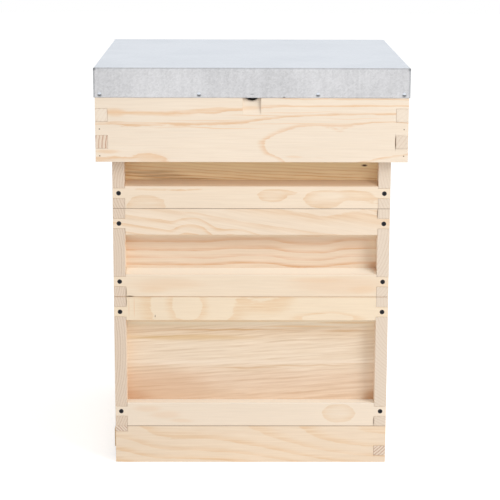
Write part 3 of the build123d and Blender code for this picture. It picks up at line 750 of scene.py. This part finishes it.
def add_piece(name, points, faces, material, body, stands_for=None, seams=None, smooth=40.0):
    """Puts arrays of points and corners into a mesh that rides on a body and may stand for a CAD node.

    The seams are how near points of a grid meet, where poles and rows have to be closed.
    """
    mesh = bpy.data.meshes.new(name)
    mesh.from_pydata(np.reshape(points, (-1, 3)).tolist(), [], faces.tolist())
    mesh.validate()
    mesh.shade_smooth()
    mesh.set_sharp_from_angle(angle=math.radians(smooth))
    mesh.materials.append(material)
    piece = bpy.data.objects.new(name, mesh)
    bpy.context.scene.collection.objects.link(piece)
    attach(piece, body)
    if stands_for:
        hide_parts(stands_for)
    if seams:
        weld(piece, "closed seams", seams)
    return piece


def grid_faces(rows, columns, closed=False):
    """Quads between neighbouring points of a grid; a closed one also joins the last column to the first."""
    row = np.arange(rows - 1)[:, None] * columns
    column = np.arange(columns if closed else columns - 1)[None, :]
    beside = (column + 1) % columns
    corners = (row + column, row + beside, row + columns + beside, row + columns + column)
    return np.stack(corners, axis=-1).reshape(-1, 4)


def turned_piece(radius, depth, steps):
    """A profile of radius against depth turned round the Y axis, with the quads between its points.

    X and Z are the radius times the cosine and the sine of the turn.
    """
    angle = -np.linspace(0, TAU, steps, endpoint=False)
    x = np.outer(radius, np.cos(angle))
    z = np.outer(radius, np.sin(angle))
    y = np.repeat(np.asarray(depth)[:, None], steps, axis=1)
    return np.stack((x, y, z), axis=-1), grid_faces(len(radius), steps, closed=True)


def repeated(points, faces, places):
    """One array of points set at many places, each given by a 4 by 4 matrix, with faces to match."""
    flat = points.reshape(-1, 3)
    turns = np.stack([np.array(place) for place in places])
    moved = np.einsum("kij,nj->kni", turns[:, :3, :3], flat) + turns[:, None, :3, 3]
    step = len(flat) * np.arange(len(places))
    return moved, (faces[None, :, :] + step[:, None, None]).reshape(-1, faces.shape[1])


def quarter_turn(quarter):
    """Turns a place on the front round to another side of the hive."""
    return Matrix.Rotation(quarter * TAU / 4, 4, "Z")


RIM_SIDE = 210 * MM


class HIVE_OT_pine_boards(bpy.types.Operator):
    """Gives every pine board its own rings, end grain and planed edges"""

    bl_idname = "hive.pine_boards"
    bl_label = "Pine Boards"

    def execute(self, context):
        looks = context.scene.hive_pine
        rng = np.random.default_rng(20)
        for node in nodes_of("pine"):
            seed = float(rng.uniform(0, 9))
            if node == "crown_rim":
                cover(node, self.mitred(node, looks, seed, rng))
                continue
            if node in FRONT_CUTS:
                cut = FRONT_CUTS[node]
                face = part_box(node)[0].y
                heart = (0, cut.heart[0] * MM, cut.heart[1] * MM)
                season = cut.season - (heart[1] - face) / (cut.ring * MM)
                cut = cut._replace(heart=heart, season=season)
                material = pine_material(node, "X", cut, seed, looks, face)
            elif node in SIDE_CUTS:
                cut = SIDE_CUTS[node]
                heart = (cut.heart[0] * MM, 0, cut.heart[1] * MM)
                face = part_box(node)[0].y
                material = pine_material(node, "Y", cut._replace(heart=heart), seed, looks, face)
            else:
                axis = "Y" if node.endswith(GRAIN_ALONG_Y) else "X"
                material = pine_material(node, axis, chance_cut(node, axis, looks.ring, rng), seed, looks)
            round_edges(cover(node, material), looks.edge)
        return {"FINISHED"}

    def mitred(self, node, looks, seed, rng):
        """The crown board's rim: two bars run along X, and the two outside 210 mm run along Y.

        The bars touch, so their edges stay sharp: rounding would join them where they meet.
        """
        material, w, shader, coordinates = new_material(node)
        bars = []
        for axis in "XY":
            cut = chance_cut(node, axis, looks.ring, rng)
            bars.append(pine_figure(w, coordinates, axis, cut, seed, looks))
        places = w.node("ShaderNodeSeparateXYZ")
        w.feed(places.inputs[0], coordinates["Object"])
        side = w.math("GREATER_THAN", w.math("ABSOLUTE", places.outputs["X"]), RIM_SIDE)
        finish_wood(w, shader, w.mix(side, bars[0]["Color"], bars[1]["Color"]), bars[0], looks.relief)
        return material


WAX_CLOUDS = (25, 25, 25)


class HIVE_OT_frames(bpy.types.Operator):
    """Gives the hanging frames fine-grained wood and their sheets pressed wax"""

    bl_idname = "hive.frames"
    bl_label = "Frames and Wax"

    def execute(self, context):
        looks = context.scene.hive_frames
        pine = context.scene.hive_pine
        rng = np.random.default_rng(31)
        wax = self.wax(looks)
        early = tuple(np.divide(looks.early, pine.early))
        late = tuple(np.divide(looks.late, pine.late))
        for box in BOXES:
            for bars, axis in (("top_bars", "Y"), ("bottom_bars", "Y"), ("side_bars", "Z")):
                node = f"{box}_{bars}"
                cut = chance_cut(node, axis, looks.ring, rng)._replace(early=early, late=late)
                material = pine_material(node, axis, cut, float(rng.uniform(0, 9)), pine)
                round_edges(cover(node, material), 0.5 * pine.edge)
            cover(f"{box}_wax_sheets", wax)
        return {"FINISHED"}

    def wax(self, looks):
        """Hexagonal cells: the distance to the nearer of two oblong lattices that lie half a step apart."""
        material, w, shader, coordinates = new_material("pressed_wax")
        tall = math.sqrt(3)
        scaled = w.vector("DIVIDE", coordinates["Object"], (looks.cell, looks.cell, tall * looks.cell))
        spans = []
        for offset in (0.0, 0.5):
            part = w.vector("FRACTION", w.vector("ADD", scaled, (0, offset, offset)))
            centred = w.vector("MULTIPLY", w.vector("SUBTRACT", part, (0, 0.5, 0.5)), (0, 1, tall))
            spans.append(w.vector("LENGTH", centred))
        walls = w.ramp(w.math("MINIMUM", *spans), 0.3, 0.5)
        cloud = w.noise(coordinates["Object"], WAX_CLOUDS, 3.0)
        colour = w.mix(walls, tuple(looks.wax), tuple(looks.wall))
        colour = w.shade(colour, w.ramp(cloud, 0.3, 0.7, 0.9, 1.06))
        finish(w, shader, colour, w.ramp(cloud, 0.3, 0.7, 0.4, 0.55), walls, looks.depth)
        return material


VENEER_CUT = Cut(heart=(0, 0, 0), ring=13, wander=26)
VENEER_HEART = 30 * MM


class HIVE_OT_ply_sheets(bpy.types.Operator):
    """Gives the crown board, roof panel and tray a broad veneer figure and layered edges"""

    bl_idname = "hive.ply_sheets"
    bl_label = "Plywood Sheets"

    def execute(self, context):
        looks = context.scene.hive_ply
        pine = context.scene.hive_pine
        rng = np.random.default_rng(5)
        for node in nodes_of("plywood"):
            thickness = GRAIN_AXIS["X" if node == "tray_lip" else "Z"]
            cover(node, self.ply(node, thickness, looks, pine, float(rng.uniform(0, 9))))
        return {"FINISHED"}

    def ply(self, node, thickness, looks, pine, seed):
        """Veneer cut round the log: wide wandering rings; on edges, every other veneer shows darker."""
        material, w, shader, coordinates = new_material(node)
        low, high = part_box(node)
        cut = VENEER_CUT._replace(
            heart=tuple((low + high) / 2 - VENEER_HEART * Vector(thickness)),
            early=tuple(np.divide(looks.face, pine.early)), late=tuple(np.divide(looks.line, pine.late)),
        )
        figure = pine_figure(w, coordinates, "Y", cut, seed, pine)
        start = float(low.dot(Vector(thickness)))
        depth = w.math("SUBTRACT", w.vector("DOT_PRODUCT", coordinates["Object"], thickness), start)
        layer = w.math("FRACT", w.math("DIVIDE", depth, 2 * looks.veneer))
        facing = w.math("ABSOLUTE", w.vector("DOT_PRODUCT", coordinates["Normal"], thickness))
        dark = w.math("MULTIPLY", w.math("GREATER_THAN", layer, 0.5), w.math("LESS_THAN", facing, 0.5))
        finish_wood(w, shader, w.mix(dark, figure["Color"], tuple(looks.cross)), figure, pine.relief)
        return material


SPANGLE_RELIEF = 0.05 * MM


def zinc_material(name, looks, shade=1.0, upper_shade=1.0, tone_marks=(), upper=(0.3, 0.9)):
    """Dull galvanised metal with painted light: lighter, bluer and calmer where it looks up.

    The change to the painted upper light runs between two heights of the surface's normal. A tone mark has
    a place, a reach, a strength and a tone.
    """
    material, w, shader, coordinates = new_material(name)
    # Painted light: the mask gives faces that look up the lighter, bluer upper zinc.
    up = w.ramp(w.vector("DOT_PRODUCT", coordinates["Normal"], (0, 0, 1)), *upper)
    colour = w.mix(up, tuple(np.multiply(looks.colour, shade)), tuple(np.multiply(looks.painted_upper_light, upper_shade)))
    contrast = w.ramp(up, 0, 1, 1.0, 0.3)
    zinc = w.place(
        spangle_group(), Vector=coordinates["Object"], Size=looks.spangle, Contrast=contrast, Zinc=colour
    )
    colour = zinc["Color"]
    for place, reach, strength, tone in tone_marks:
        colour = lay_tone(w, coordinates["Object"], colour, place, reach, strength, tone)
    finish(w, shader, colour, zinc["Roughness"], zinc["Height"], SPANGLE_RELIEF)
    shader.inputs["Metallic"].default_value = 0.7
    return material


# Painted shade along the roof's folds and down its corners.
FOLD_SHADE = (168, 171, 175)
# Painted shade under the nails, darker zinc at the top of each corner, and the tone of the scuffs.
SHADE_AND_SCUFF = (118, 120, 124)
# Millimetres from a nail down to the middle of the painted shade under it.
NAIL_SHADE_DROP = 2.4
LAYER_GAP = 0.02 * MM
TOP_SWELL = 0.2 * MM
NAIL_SPOTS = np.array((-247.0, -86.0, 107.0, 247.0)) * MM
NAIL_RISE = {"front": 6.0 * MM, "side": 14.0 * MM}
# Waves of the skirt: share, length in metres and phase.
SKIRT_WAVES = ((0.6, 0.19, 0.8), (0.4, 0.083, 2.1))
# Scuffs by the front vent: X and Z, reach along and up in millimetres, and strength.
SCUFFS = ((0, 634.5, 3, 0.8, 0.6), (52, 629.5, 2.4, 1.0, 0.8))


class HIVE_OT_roof_cover(bpy.types.Operator):
    """Makes the roof's zinc sheet with waves, nail dents and folded corners"""

    bl_idname = "hive.roof_cover"
    bl_label = "Roof Cover"

    STEPS = 120
    SKIRT_ROWS = 15
    FOLD_STEPS = 4
    FLAP_STEPS = 13

    def execute(self, context):
        looks = context.scene.hive_zinc
        low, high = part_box("roof_cover")
        self.half = high.y
        self.top = high.z
        self.base = low.z
        parts = [self.skirt(looks), self.top_sheet(looks), *self.flaps(looks)]
        points = np.concatenate([grid.reshape(-1, 3) for grid, faces in parts])
        starts = np.cumsum([0] + [grid[..., 0].size for grid, faces in parts[:-1]])
        faces = np.concatenate([faces + start for (grid, faces), start in zip(parts, starts)])
        material = zinc_material("roof_zinc", looks, tone_marks=self.marks())
        piece = add_piece(
            "roof_zinc", points, faces, material, "roof", "roof_cover", FOLD_ROWS
        )
        thicken(piece, looks.sheet)
        return {"FINISHED"}

    def marks(self):
        """Painted shade along the folds and down the corners, darker zinc at the top of each corner,
        painted shade under the nails and two scuffs by the front vent.
        """
        half, top, base = (size / MM for size in (self.half, self.top, self.base))
        # Painted shade along the top fold, then down each corner.
        tone_marks = [((0, 0, top - 1.5), (EVERYWHERE, EVERYWHERE, 1.0), 0.5, FOLD_SHADE)]
        for x in (-half, half):
            for y in (-half, half):
                tone_marks.append(((x, y, 0), (1.8, 1.8, EVERYWHERE), 0.5, FOLD_SHADE))
                tone_marks.append(((x, y, top - 3), (3.5, 3.5, 2.4), 0.6, SHADE_AND_SCUFF))
        under_front, under_side = (base + rise / MM - NAIL_SHADE_DROP for rise in NAIL_RISE.values())
        # Painted shade under each nail.
        for spot in NAIL_SPOTS / MM:
            tone_marks.append(((spot, 0, under_front), (3.6, EVERYWHERE, 2.4), 0.8, SHADE_AND_SCUFF))
            tone_marks.append(((0, spot, under_side), (EVERYWHERE, 3.6, 2.4), 0.8, SHADE_AND_SCUFF))
        for x, z, reach, up, strength in SCUFFS:
            tone_marks.append(((x, -half, z), (reach, 4, up), strength, SHADE_AND_SCUFF))
        return tone_marks

    def push(self, along, height, side, looks):
        """How far the skirt stands out: two sine waves, widest at the free edge, less a hill at each nail.

        The sheet stops at the wood, a dent's depth in.
        """
        drop = np.clip((self.top - height) / (self.top - self.base), 0, 1) ** 1.5
        wave = sum(share * np.sin(TAU * along / length + phase) for share, length, phase in SKIRT_WAVES)
        held = 1 - (along / self.half) ** 8
        out = looks.wave * drop * wave * held
        up = height - self.base - np.where(side, NAIL_RISE["side"], NAIL_RISE["front"])
        for spot in NAIL_SPOTS:
            out = out - looks.dent * np.exp(-((along - spot) ** 2 + up**2) / looks.dent_reach**2)
        return np.maximum(out, -looks.dent)

    def skirt(self, looks):
        """Skirt and fold carried round a square: a path plus its normal times a profile's reach."""
        bend = looks.bend
        inner = self.half - bend
        run = np.linspace(-inner, inner, self.STEPS + 1)
        ends = np.full_like(run, inner)
        sides = ((run, -ends), (ends, run), (-run, ends), (-ends, -run))
        path = np.concatenate([np.stack(side, axis=-1) for side in sides])
        quarter = np.repeat(np.arange(4), self.STEPS + 1)
        angle = quarter * (TAU / 4)
        normal = np.stack((np.sin(angle), -np.cos(angle)), axis=-1)
        fold = np.linspace(0, TAU / 4, self.FOLD_STEPS + 1)[1:]
        reach = np.concatenate((np.full(self.SKIRT_ROWS, bend), bend * np.cos(fold)))
        upright = np.linspace(self.base, self.top - bend, self.SKIRT_ROWS)
        height = np.concatenate((upright, self.top - bend + bend * np.sin(fold)))
        along = np.tile(run, 4) * np.where(quarter < 2, 1, -1)
        side = quarter % 2 == 1
        push = self.push(along[None, :], height[:, None], side[None, :], looks)
        push = push * (height <= self.top - bend)[:, None]
        plan = path[None] + normal[None] * (reach[:, None] + push)[..., None]
        points = np.concatenate((plan, np.broadcast_to(height[:, None, None], (*push.shape, 1))), axis=-1)
        return points, grid_faces(*push.shape, closed=True)

    def top_sheet(self, looks):
        """Flat square that rises and falls by slow sine products, fading to nothing at the folds."""
        inner = self.half - looks.bend
        run = np.linspace(-inner, inner, self.STEPS + 1)
        x, y = np.meshgrid(run, run)
        fade = (1 - (x / inner) ** 2) * (1 - (y / inner) ** 2)
        swell = 2 + np.sin(9 * x + 0.4) * np.sin(7 * y + 1.1) + np.sin(21 * x - 13 * y)
        points = np.stack((x, y, self.top + TOP_SWELL * fade * swell), axis=-1)
        return points, grid_faces(*x.shape)

    def flaps(self, looks):
        """Doubled triangles folded round the corners onto both sides, each a square drawn to a point."""
        edge = self.half - looks.bend
        leg = self.top - self.base - looks.bend
        run = np.linspace(0, 1, self.FLAP_STEPS)
        u, v = np.meshgrid(run, run, indexing="ij")
        parts = []
        for facing in (-1, 1):
            for end in (-1, 1):
                for layer in (1, 2):
                    y = end * (edge - (1 - u) * v * leg)
                    z = self.base + u * leg
                    x = self.half + layer * (looks.sheet + LAYER_GAP) + self.push(y, z, True, looks)
                    points = np.stack((facing * x, y, z), axis=-1)
                    faces = grid_faces(*u.shape)
                    parts.append((points, faces if facing * end < 0 else faces[:, ::-1]))
        return parts


class HIVE_OT_roof_nails(bpy.types.Operator):
    """Makes the round-headed nails of the roof's skirt"""

    bl_idname = "hive.roof_nails"
    bl_label = "Roof Nails"

    STEPS = 16
    SHANK = 1.1 * MM
    UNDER_HEAD = 0.05 * MM
    # Depths of the shank's end and of its point.
    POINT = (17.0 * MM, 19.5 * MM)

    def execute(self, context):
        looks = context.scene.hive_fasteners
        zinc = context.scene.hive_zinc
        nail, faces = turned_piece(*self.profile(looks), self.STEPS)
        low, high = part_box("roof_cover")
        face = high.y - zinc.dent
        flap = high.x - high.y
        places = []
        for quarter in range(4):
            at_side = quarter % 2
            height = low.z + NAIL_RISE["side" if at_side else "front"]
            for index, spot in enumerate(NAIL_SPOTS):
                lift = flap if at_side and index in (0, len(NAIL_SPOTS) - 1) else 0.0
                places.append(quarter_turn(quarter) @ Matrix.Translation((spot, -face - lift, height)))
        points, faces = repeated(nail, faces, places)
        # Painted light and shade: the heads are dark zinc below and the lighter upper zinc on top.
        material = zinc_material("nail_metal_painted_light", zinc, shade=0.16, upper=(-0.35, 0.05))
        add_piece("round_nails", points, faces, material, "roof", "roof_nails", POLES, 60.0)
        return {"FINISHED"}

    def profile(self, looks):
        """Quarter of an ellipse over the head, in under it to the shank, then down to a point."""
        dome = np.linspace(0, TAU / 4, 7)
        radius = np.concatenate((looks.nail_head * np.sin(dome), (self.SHANK, self.SHANK, 0.0)))
        depth = np.concatenate((-looks.nail_rise * np.cos(dome), (self.UNDER_HEAD, *self.POINT)))
        return radius, depth


class HIVE_OT_roof_pins(bpy.types.Operator):
    """Makes the small pins through the fingers of the roof's corners"""

    bl_idname = "hive.roof_pins"
    bl_label = "Roof Pins"

    STEPS = 12
    BOW = 0.12 * MM
    DEPTH = 4.0 * MM
    FINGERS = 7
    INSET = 7 * MM
    BELOW_MIDDLE = 1 * MM
    BELOW_SKIRT = 10 * MM

    def execute(self, context):
        """A pin's head is a low dome that falls with the square of the radius, over a straight shank."""
        looks = context.scene.hive_fasteners
        bow = np.linspace(0, 1, 4)
        radius = np.concatenate((looks.pin_head * bow, (looks.pin_head, 0.0)))
        depth = np.concatenate((-self.BOW * (1 - bow**2), (self.DEPTH, self.DEPTH)))
        pin, faces = turned_piece(radius, depth, self.STEPS)
        low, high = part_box("roof_front_board")
        finger = (high.z - low.z) / self.FINGERS
        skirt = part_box("roof_cover")[0].z
        places = []
        for quarter in range(4):
            for number in range(quarter % 2, self.FINGERS, 2):
                height = low.z + (number + 0.5) * finger
                if height < skirt - self.BELOW_SKIRT:
                    for side in (-1, 1):
                        place = (side * (high.x - self.INSET), -high.x, height - self.BELOW_MIDDLE)
                        places.append(quarter_turn(quarter) @ Matrix.Translation(place))
        points, faces = repeated(pin, faces, places)
        material = mottled_steel(
            "pin_steel", looks.pin, clouds=(900, 900, 900), detail=2.0, between=(0.3, 0.7),
            tones=(0.8, 1.1), roughness=(0.45, 0.65), metallic=0.6,
        )
        add_piece("corner_pins", points, faces, material, "roof", seams=POLES, smooth=60.0)
        return {"FINISHED"}


class HIVE_OT_screws(bpy.types.Operator):
    """Makes the blackened cross-head screws of the three boxes"""

    bl_idname = "hive.screws"
    bl_label = "Box Screws"

    STEPS = 40
    CHAMFER = 0.15 * MM
    ARM_WIDTH = 0.55 * MM
    ARM_LENGTH = 1.0 * MM
    # Depths of the head's rim, and of the shank down to its point.
    RIM = (0.12 * MM, 0.5 * MM)
    SHANK = (30.0 * MM, 45.0 * MM, 49.5 * MM)

    def execute(self, context):
        looks = context.scene.hive_fasteners
        screw, screw_faces = self.screw(looks)
        material = mottled_steel(
            "blackened_steel", looks.screw, clouds=(700, 700, 700), detail=3.0, between=(0.35, 0.75),
            tones=(0.8, 1.6), roughness=(0.34, 0.5), metallic=0.5,
        )
        rng = np.random.default_rng(8)
        for box, body in BOXES.items():
            node = f"{box}_screws"
            low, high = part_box(node)
            places = []
            for quarter in (0, 2):
                for x in (low.x + looks.head, high.x - looks.head):
                    for z in (low.z + looks.head, high.z - looks.head):
                        turn = Matrix.Rotation(rng.uniform(0, TAU / 4), 4, "Y")
                        place = Matrix.Translation((x, low.y, z)) @ turn
                        places.append(quarter_turn(quarter) @ place)
            points, faces = repeated(screw, screw_faces, places)
            name = f"{box}_cross_screws"
            add_piece(name, points, faces, material, body, node, POLES, 50.0)
        return {"FINISHED"}

    def screw(self, looks):
        """Countersunk profile turned round its axis; a pit in its face is deep near the arms of a cross.

        It is full to 0.5 widths beside an arm's line and 1.6 lengths along it; one more of each ends it.
        """
        head = looks.head
        face = np.linspace(0, 1, 13) * (head - self.CHAMFER)
        cone = head - looks.shank
        radius = np.concatenate((face, (head, head, looks.shank, looks.shank, looks.shank, 0.0)))
        depth = np.concatenate((np.zeros_like(face), self.RIM, (self.RIM[1] + cone,), self.SHANK))
        points, faces = turned_piece(radius, depth, self.STEPS)
        x, z = np.abs(points[..., 0]), np.abs(points[..., 2])
        across = np.clip(1.5 - np.minimum(x, z) / self.ARM_WIDTH, 0, 1)
        along = np.clip(2.6 - np.maximum(x, z) / self.ARM_LENGTH, 0, 1)
        on_face = (np.arange(len(radius)) < len(face))[:, None]
        points[..., 1] += looks.recess * across * along * on_face
        return points, faces


# Thicknesses of wire between the middles of two crossing layers, and the sides of a wire.
WIRE_STEP = 0.92
WIRE_SIDES = 6


def wire_net(low, high, across, deep, pitch, wire):
    """Two crossing layers of straight six-sided wires between two corners, in the plane of two axes.

    A wire is a hexagon of radius wire/2 carried along its axis; the next stands one pitch further on.
    """
    angle = np.linspace(0, TAU, WIRE_SIDES, endpoint=False)
    ring = np.stack((np.cos(angle), np.sin(angle)), axis=-1) * (wire / 2)
    cap = np.array(((0, 1, 2, 3), (0, 3, 4, 5)))
    wire_faces = np.concatenate((grid_faces(2, WIRE_SIDES, closed=True), cap[:, ::-1], cap + WIRE_SIDES))
    corners = 2 * WIRE_SIDES
    points, faces, start = [], [], 0
    for level, (along, beside) in enumerate((across, across[::-1])):
        count = int((high[beside] - low[beside] - wire) // pitch) + 1
        middle = (high[beside] + low[beside]) / 2
        rows = middle + pitch * (np.arange(count) - (count - 1) / 2)
        net = np.zeros((count, 2, WIRE_SIDES, 3))
        net[..., along] = np.array((low[along], high[along]))[None, :, None]
        net[..., beside] = rows[:, None, None] + ring[None, None, :, 0]
        net[..., deep] = low[deep] + wire * (0.5 + WIRE_STEP * level) + ring[None, None, :, 1]
        handed = (along, beside, deep) in ((0, 1, 2), (1, 2, 0), (2, 0, 1))
        outward = wire_faces if handed else wire_faces[:, ::-1]
        first = start + corners * np.arange(count)
        faces.append((outward[None] + first[:, None, None]).reshape(-1, 4))
        points.append(net.reshape(-1, 3))
        start += corners * count
    return np.concatenate(points), np.concatenate(faces)


class HIVE_OT_wire_mesh(bpy.types.Operator):
    """Makes the floor's wire mesh and the screens behind the roof's vents"""

    bl_idname = "hive.wire_mesh"
    bl_label = "Wire Mesh"

    def execute(self, context):
        looks = context.scene.hive_zinc
        material = zinc_material("wire_zinc", looks, shade=0.7, upper_shade=0.8)
        low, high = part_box("floor_mesh")
        points, faces = wire_net(low, high, (0, 1), 2, looks.mesh_pitch, looks.wire)
        add_piece("floor_wire_mesh", points, faces, material, "floor", "floor_mesh")
        low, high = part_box("roof_vent_screens")
        front_high = Vector((high.x, low.y + 2 * looks.wire, high.z))
        front, front_faces = wire_net(low, front_high, (0, 2), 1, looks.screen_pitch, looks.wire)
        back_low = Vector((low.x, high.y - 2 * looks.wire, low.z))
        back, back_faces = wire_net(back_low, high, (0, 2), 1, looks.screen_pitch, looks.wire)
        points = np.concatenate((front, back))
        faces = np.concatenate((front_faces, back_faces + len(front)))
        # Painted shade: the vent screens are nearly black, standing for the shade inside the vents.
        vent_wire_shade = zinc_material("vent_wire_painted_shade", looks, shade=0.12, upper_shade=0.2)
        add_piece("vent_wire_screens", points, faces, vent_wire_shade, "roof", "roof_vent_screens")
        return {"FINISHED"}


class HIVE_OT_queen_excluder(bpy.types.Operator):
    """Makes the slotted zinc sheet between the brood box and the supers"""

    bl_idname = "hive.queen_excluder"
    bl_label = "Queen Excluder"

    BORDER = 20 * MM
    ROWS = 4
    ROW_PITCH = 102 * MM
    SLOT_LENGTH = 94 * MM

    def edges(self, low, high, count, pitch, width):
        """Edges across a sheet: its own, and those of so many openings of one width, a pitch apart."""
        middles = pitch * (np.arange(count) - (count - 1) / 2)
        openings = middles[:, None] + width * np.array((-0.5, 0.5))
        return np.concatenate(((low,), openings.ravel(), (high,)))

    def execute(self, context):
        """A flat grid of the slots' edges, whose quads are left out in every other row and column."""
        looks = context.scene.hive_zinc
        low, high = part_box("queen_excluder")
        columns = int((high.x - low.x - 2 * self.BORDER) // looks.slot_pitch)
        x = self.edges(low.x, high.x, columns, looks.slot_pitch, looks.slot)
        y = self.edges(low.y, high.y, self.ROWS, self.ROW_PITCH, self.SLOT_LENGTH)
        grid_y, grid_x = np.meshgrid(y, x, indexing="ij")
        points = np.stack((grid_x, grid_y, np.full_like(grid_x, high.z)), axis=-1)
        kept = np.ones((len(y) - 1, len(x) - 1), bool)
        kept[1::2, 1::2] = False
        faces = grid_faces(len(y), len(x))[kept.ravel()]
        # Painted light along the front and back rims of the excluder.
        rim_light = [((0, side * high.y / MM, 0), (EVERYWHERE, 3, EVERYWHERE), 0.85, RIM_LIGHT) for side in (-1, 1)]
        material = zinc_material("excluder_zinc", looks, shade=0.85, upper_shade=0.85, tone_marks=rim_light)
        piece = add_piece(
            "slotted_excluder", points, faces, material, "excluder", "queen_excluder"
        )
        thicken(piece, high.z - low.z)
        return {"FINISHED"}


class HIVE_OT_lug_strips(bpy.types.Operator):
    """Gives the strips that carry the frames their zinc"""

    bl_idname = "hive.lug_strips"
    bl_label = "Lug Strips"

    def execute(self, context):
        material = zinc_material("strip_zinc", context.scene.hive_zinc, shade=0.9, upper_shade=0.9)
        for node in ("brood_frame_runners", "lower_super_frame_spacers", "upper_super_frame_spacers"):
            cover(node, material)
        return {"FINISHED"}


class HIVE_OT_studio(bpy.types.Operator):
    """Sets up the floor, the soft lamps and the camera"""

    bl_idname = "hive.studio"
    bl_label = "Studio"

    FLOOR_REACH = 10
    GLOW = 0.5
    WHITE = (1.0, 1.0, 1.0, 1.0)
    # Places and widths of the lamps, and the point on the hive that both look at, in metres.
    KEY = ((2.1, -2.1, 2.05), 1.6)
    FILL = ((-1.6, -3.0, 1.4), 2.2)
    AIM = (0, 0, 0.35)

    def execute(self, context):
        scene = context.scene
        looks = scene.hive_studio
        scene.view_settings.view_transform = "Standard"
        self.floor(scene, looks)
        self.world(scene, looks)
        self.lamp(scene, "key", *self.KEY, looks.key)
        self.lamp(scene, "fill", *self.FILL, looks.fill)
        self.camera(scene, looks)
        return {"FINISHED"}

    def seen(self, w):
        """One for rays from the camera, a reflection or glass, and nought for light."""
        path = w.node("ShaderNodeLightPath")
        looks = w.math("MAXIMUM", path.outputs["Is Camera Ray"], path.outputs["Is Glossy Ray"])
        return w.math("MAXIMUM", looks, path.outputs["Is Transmission Ray"])

    def floor(self, scene, looks):
        """A square that reaches ten metres each way; the hive's shadow stays under a little white glow."""
        mesh = bpy.data.meshes.new("studio_floor")
        run = np.linspace(-self.FLOOR_REACH, self.FLOOR_REACH, 9)
        x, y = np.meshgrid(run, run)
        points = np.stack((x, y, np.zeros_like(x)), axis=-1).reshape(-1, 3)
        mesh.from_pydata(points.tolist(), [], grid_faces(*x.shape).tolist())
        floor = bpy.data.objects.new("studio_floor", mesh)
        scene.collection.objects.link(floor)
        material, w, shader, coordinates = new_material("studio_floor")
        paper = w.noise(coordinates["Object"], (300, 300, 300), 2.0)
        tone = w.ramp(paper, 0.3, 0.7, 0.995, 1.005)
        w.feed(shader.inputs["Base Color"], w.shade(tuple(looks.floor), tone))
        shader.inputs["Roughness"].default_value = 0.9
        shader.inputs["Specular IOR Level"].default_value = 0.0
        shader.inputs["Emission Color"].default_value = self.WHITE
        w.feed(shader.inputs["Emission Strength"], w.math("MULTIPLY", self.seen(w), self.GLOW))
        mesh.materials.append(material)

    def world(self, scene, looks):
        world = bpy.data.worlds.new("studio")
        world.use_nodes = True
        world.node_tree.nodes.clear()
        w = Wiring(world.node_tree)
        background = w.node("ShaderNodeBackground")
        background.inputs["Color"].default_value = self.WHITE
        strength = w.math("MULTIPLY_ADD", self.seen(w), 1.0 - looks.ambient, looks.ambient)
        w.feed(background.inputs["Strength"], strength)
        w.feed(w.node("ShaderNodeOutputWorld").inputs["Surface"], background.outputs[0])
        scene.world = world

    def lamp(self, scene, name, place, size, power):
        light = bpy.data.lights.new(name, "AREA")
        light.shape = "DISK"
        light.size = size
        light.energy = power
        lamp = bpy.data.objects.new(name, light)
        aim = Vector(self.AIM) - Vector(place)
        lamp.matrix_world = Matrix.Translation(place) @ aim.to_track_quat("-Z", "Y").to_matrix().to_4x4()
        lamp.visible_glossy = False
        scene.collection.objects.link(lamp)

    def camera(self, scene, looks):
        """Level axes turned by the yaw, tipped down by the pitch, then rolled about the line of sight."""
        pitch, yaw, roll = looks.turn
        data = bpy.data.cameras.new("camera")
        data.lens = looks.lens
        data.sensor_width = 36.0
        data.sensor_fit = "HORIZONTAL"
        camera = bpy.data.objects.new("camera", data)
        heading = Matrix.Rotation(yaw, 4, "Z") @ Matrix.Rotation(math.pi / 2 - pitch, 4, "X")
        camera.matrix_world = Matrix.Translation(looks.place) @ heading @ Matrix.Rotation(roll, 4, "Z")
        scene.collection.objects.link(camera)
        scene.camera = camera


GROUPS = {
    "hive_pine": HivePine,
    "hive_frames": HiveFrames,
    "hive_ply": HivePly,
    "hive_zinc": HiveZinc,
    "hive_fasteners": HiveFasteners,
    "hive_studio": HiveStudio,
}
OPERATORS = (
    HIVE_OT_pine_boards,
    HIVE_OT_frames,
    HIVE_OT_ply_sheets,
    HIVE_OT_roof_cover,
    HIVE_OT_roof_nails,
    HIVE_OT_roof_pins,
    HIVE_OT_screws,
    HIVE_OT_wire_mesh,
    HIVE_OT_queen_excluder,
    HIVE_OT_lug_strips,
    HIVE_OT_studio,
)


class HIVE_PT_finishes(bpy.types.Panel):
    """Lists the settings and the steps that dress the hive"""

    bl_label = "Beehive"
    bl_idname = "HIVE_PT_finishes"
    bl_space_type = "VIEW_3D"
    bl_region_type = "UI"
    bl_category = "Beehive"

    def draw(self, context):
        for name, group in GROUPS.items():
            box = self.layout.box()
            box.label(text=name.replace("_", " ").title())
            for setting in group.__annotations__:
                box.prop(getattr(context.scene, name), setting)
        for operator in OPERATORS:
            self.layout.operator(operator.bl_idname)


def register():
    for name, group in GROUPS.items():
        bpy.utils.register_class(group)
        setattr(bpy.types.Scene, name, bpy.props.PointerProperty(type=group))
    for operator in OPERATORS:
        bpy.utils.register_class(operator)
    bpy.utils.register_class(HIVE_PT_finishes)


def unregister():
    bpy.utils.unregister_class(HIVE_PT_finishes)
    for operator in reversed(OPERATORS):
        bpy.utils.unregister_class(operator)
    for name, group in GROUPS.items():
        delattr(bpy.types.Scene, name)
        bpy.utils.unregister_class(group)


def main():
    register()
    bpy.ops.hive.pine_boards()
    bpy.ops.hive.frames()
    bpy.ops.hive.ply_sheets()
    bpy.ops.hive.roof_cover()
    bpy.ops.hive.roof_nails()
    bpy.ops.hive.roof_pins()
    bpy.ops.hive.screws()
    bpy.ops.hive.wire_mesh()
    bpy.ops.hive.queen_excluder()
    bpy.ops.hive.lug_strips()
    bpy.ops.hive.studio()


if __name__ == "__main__":
    main()
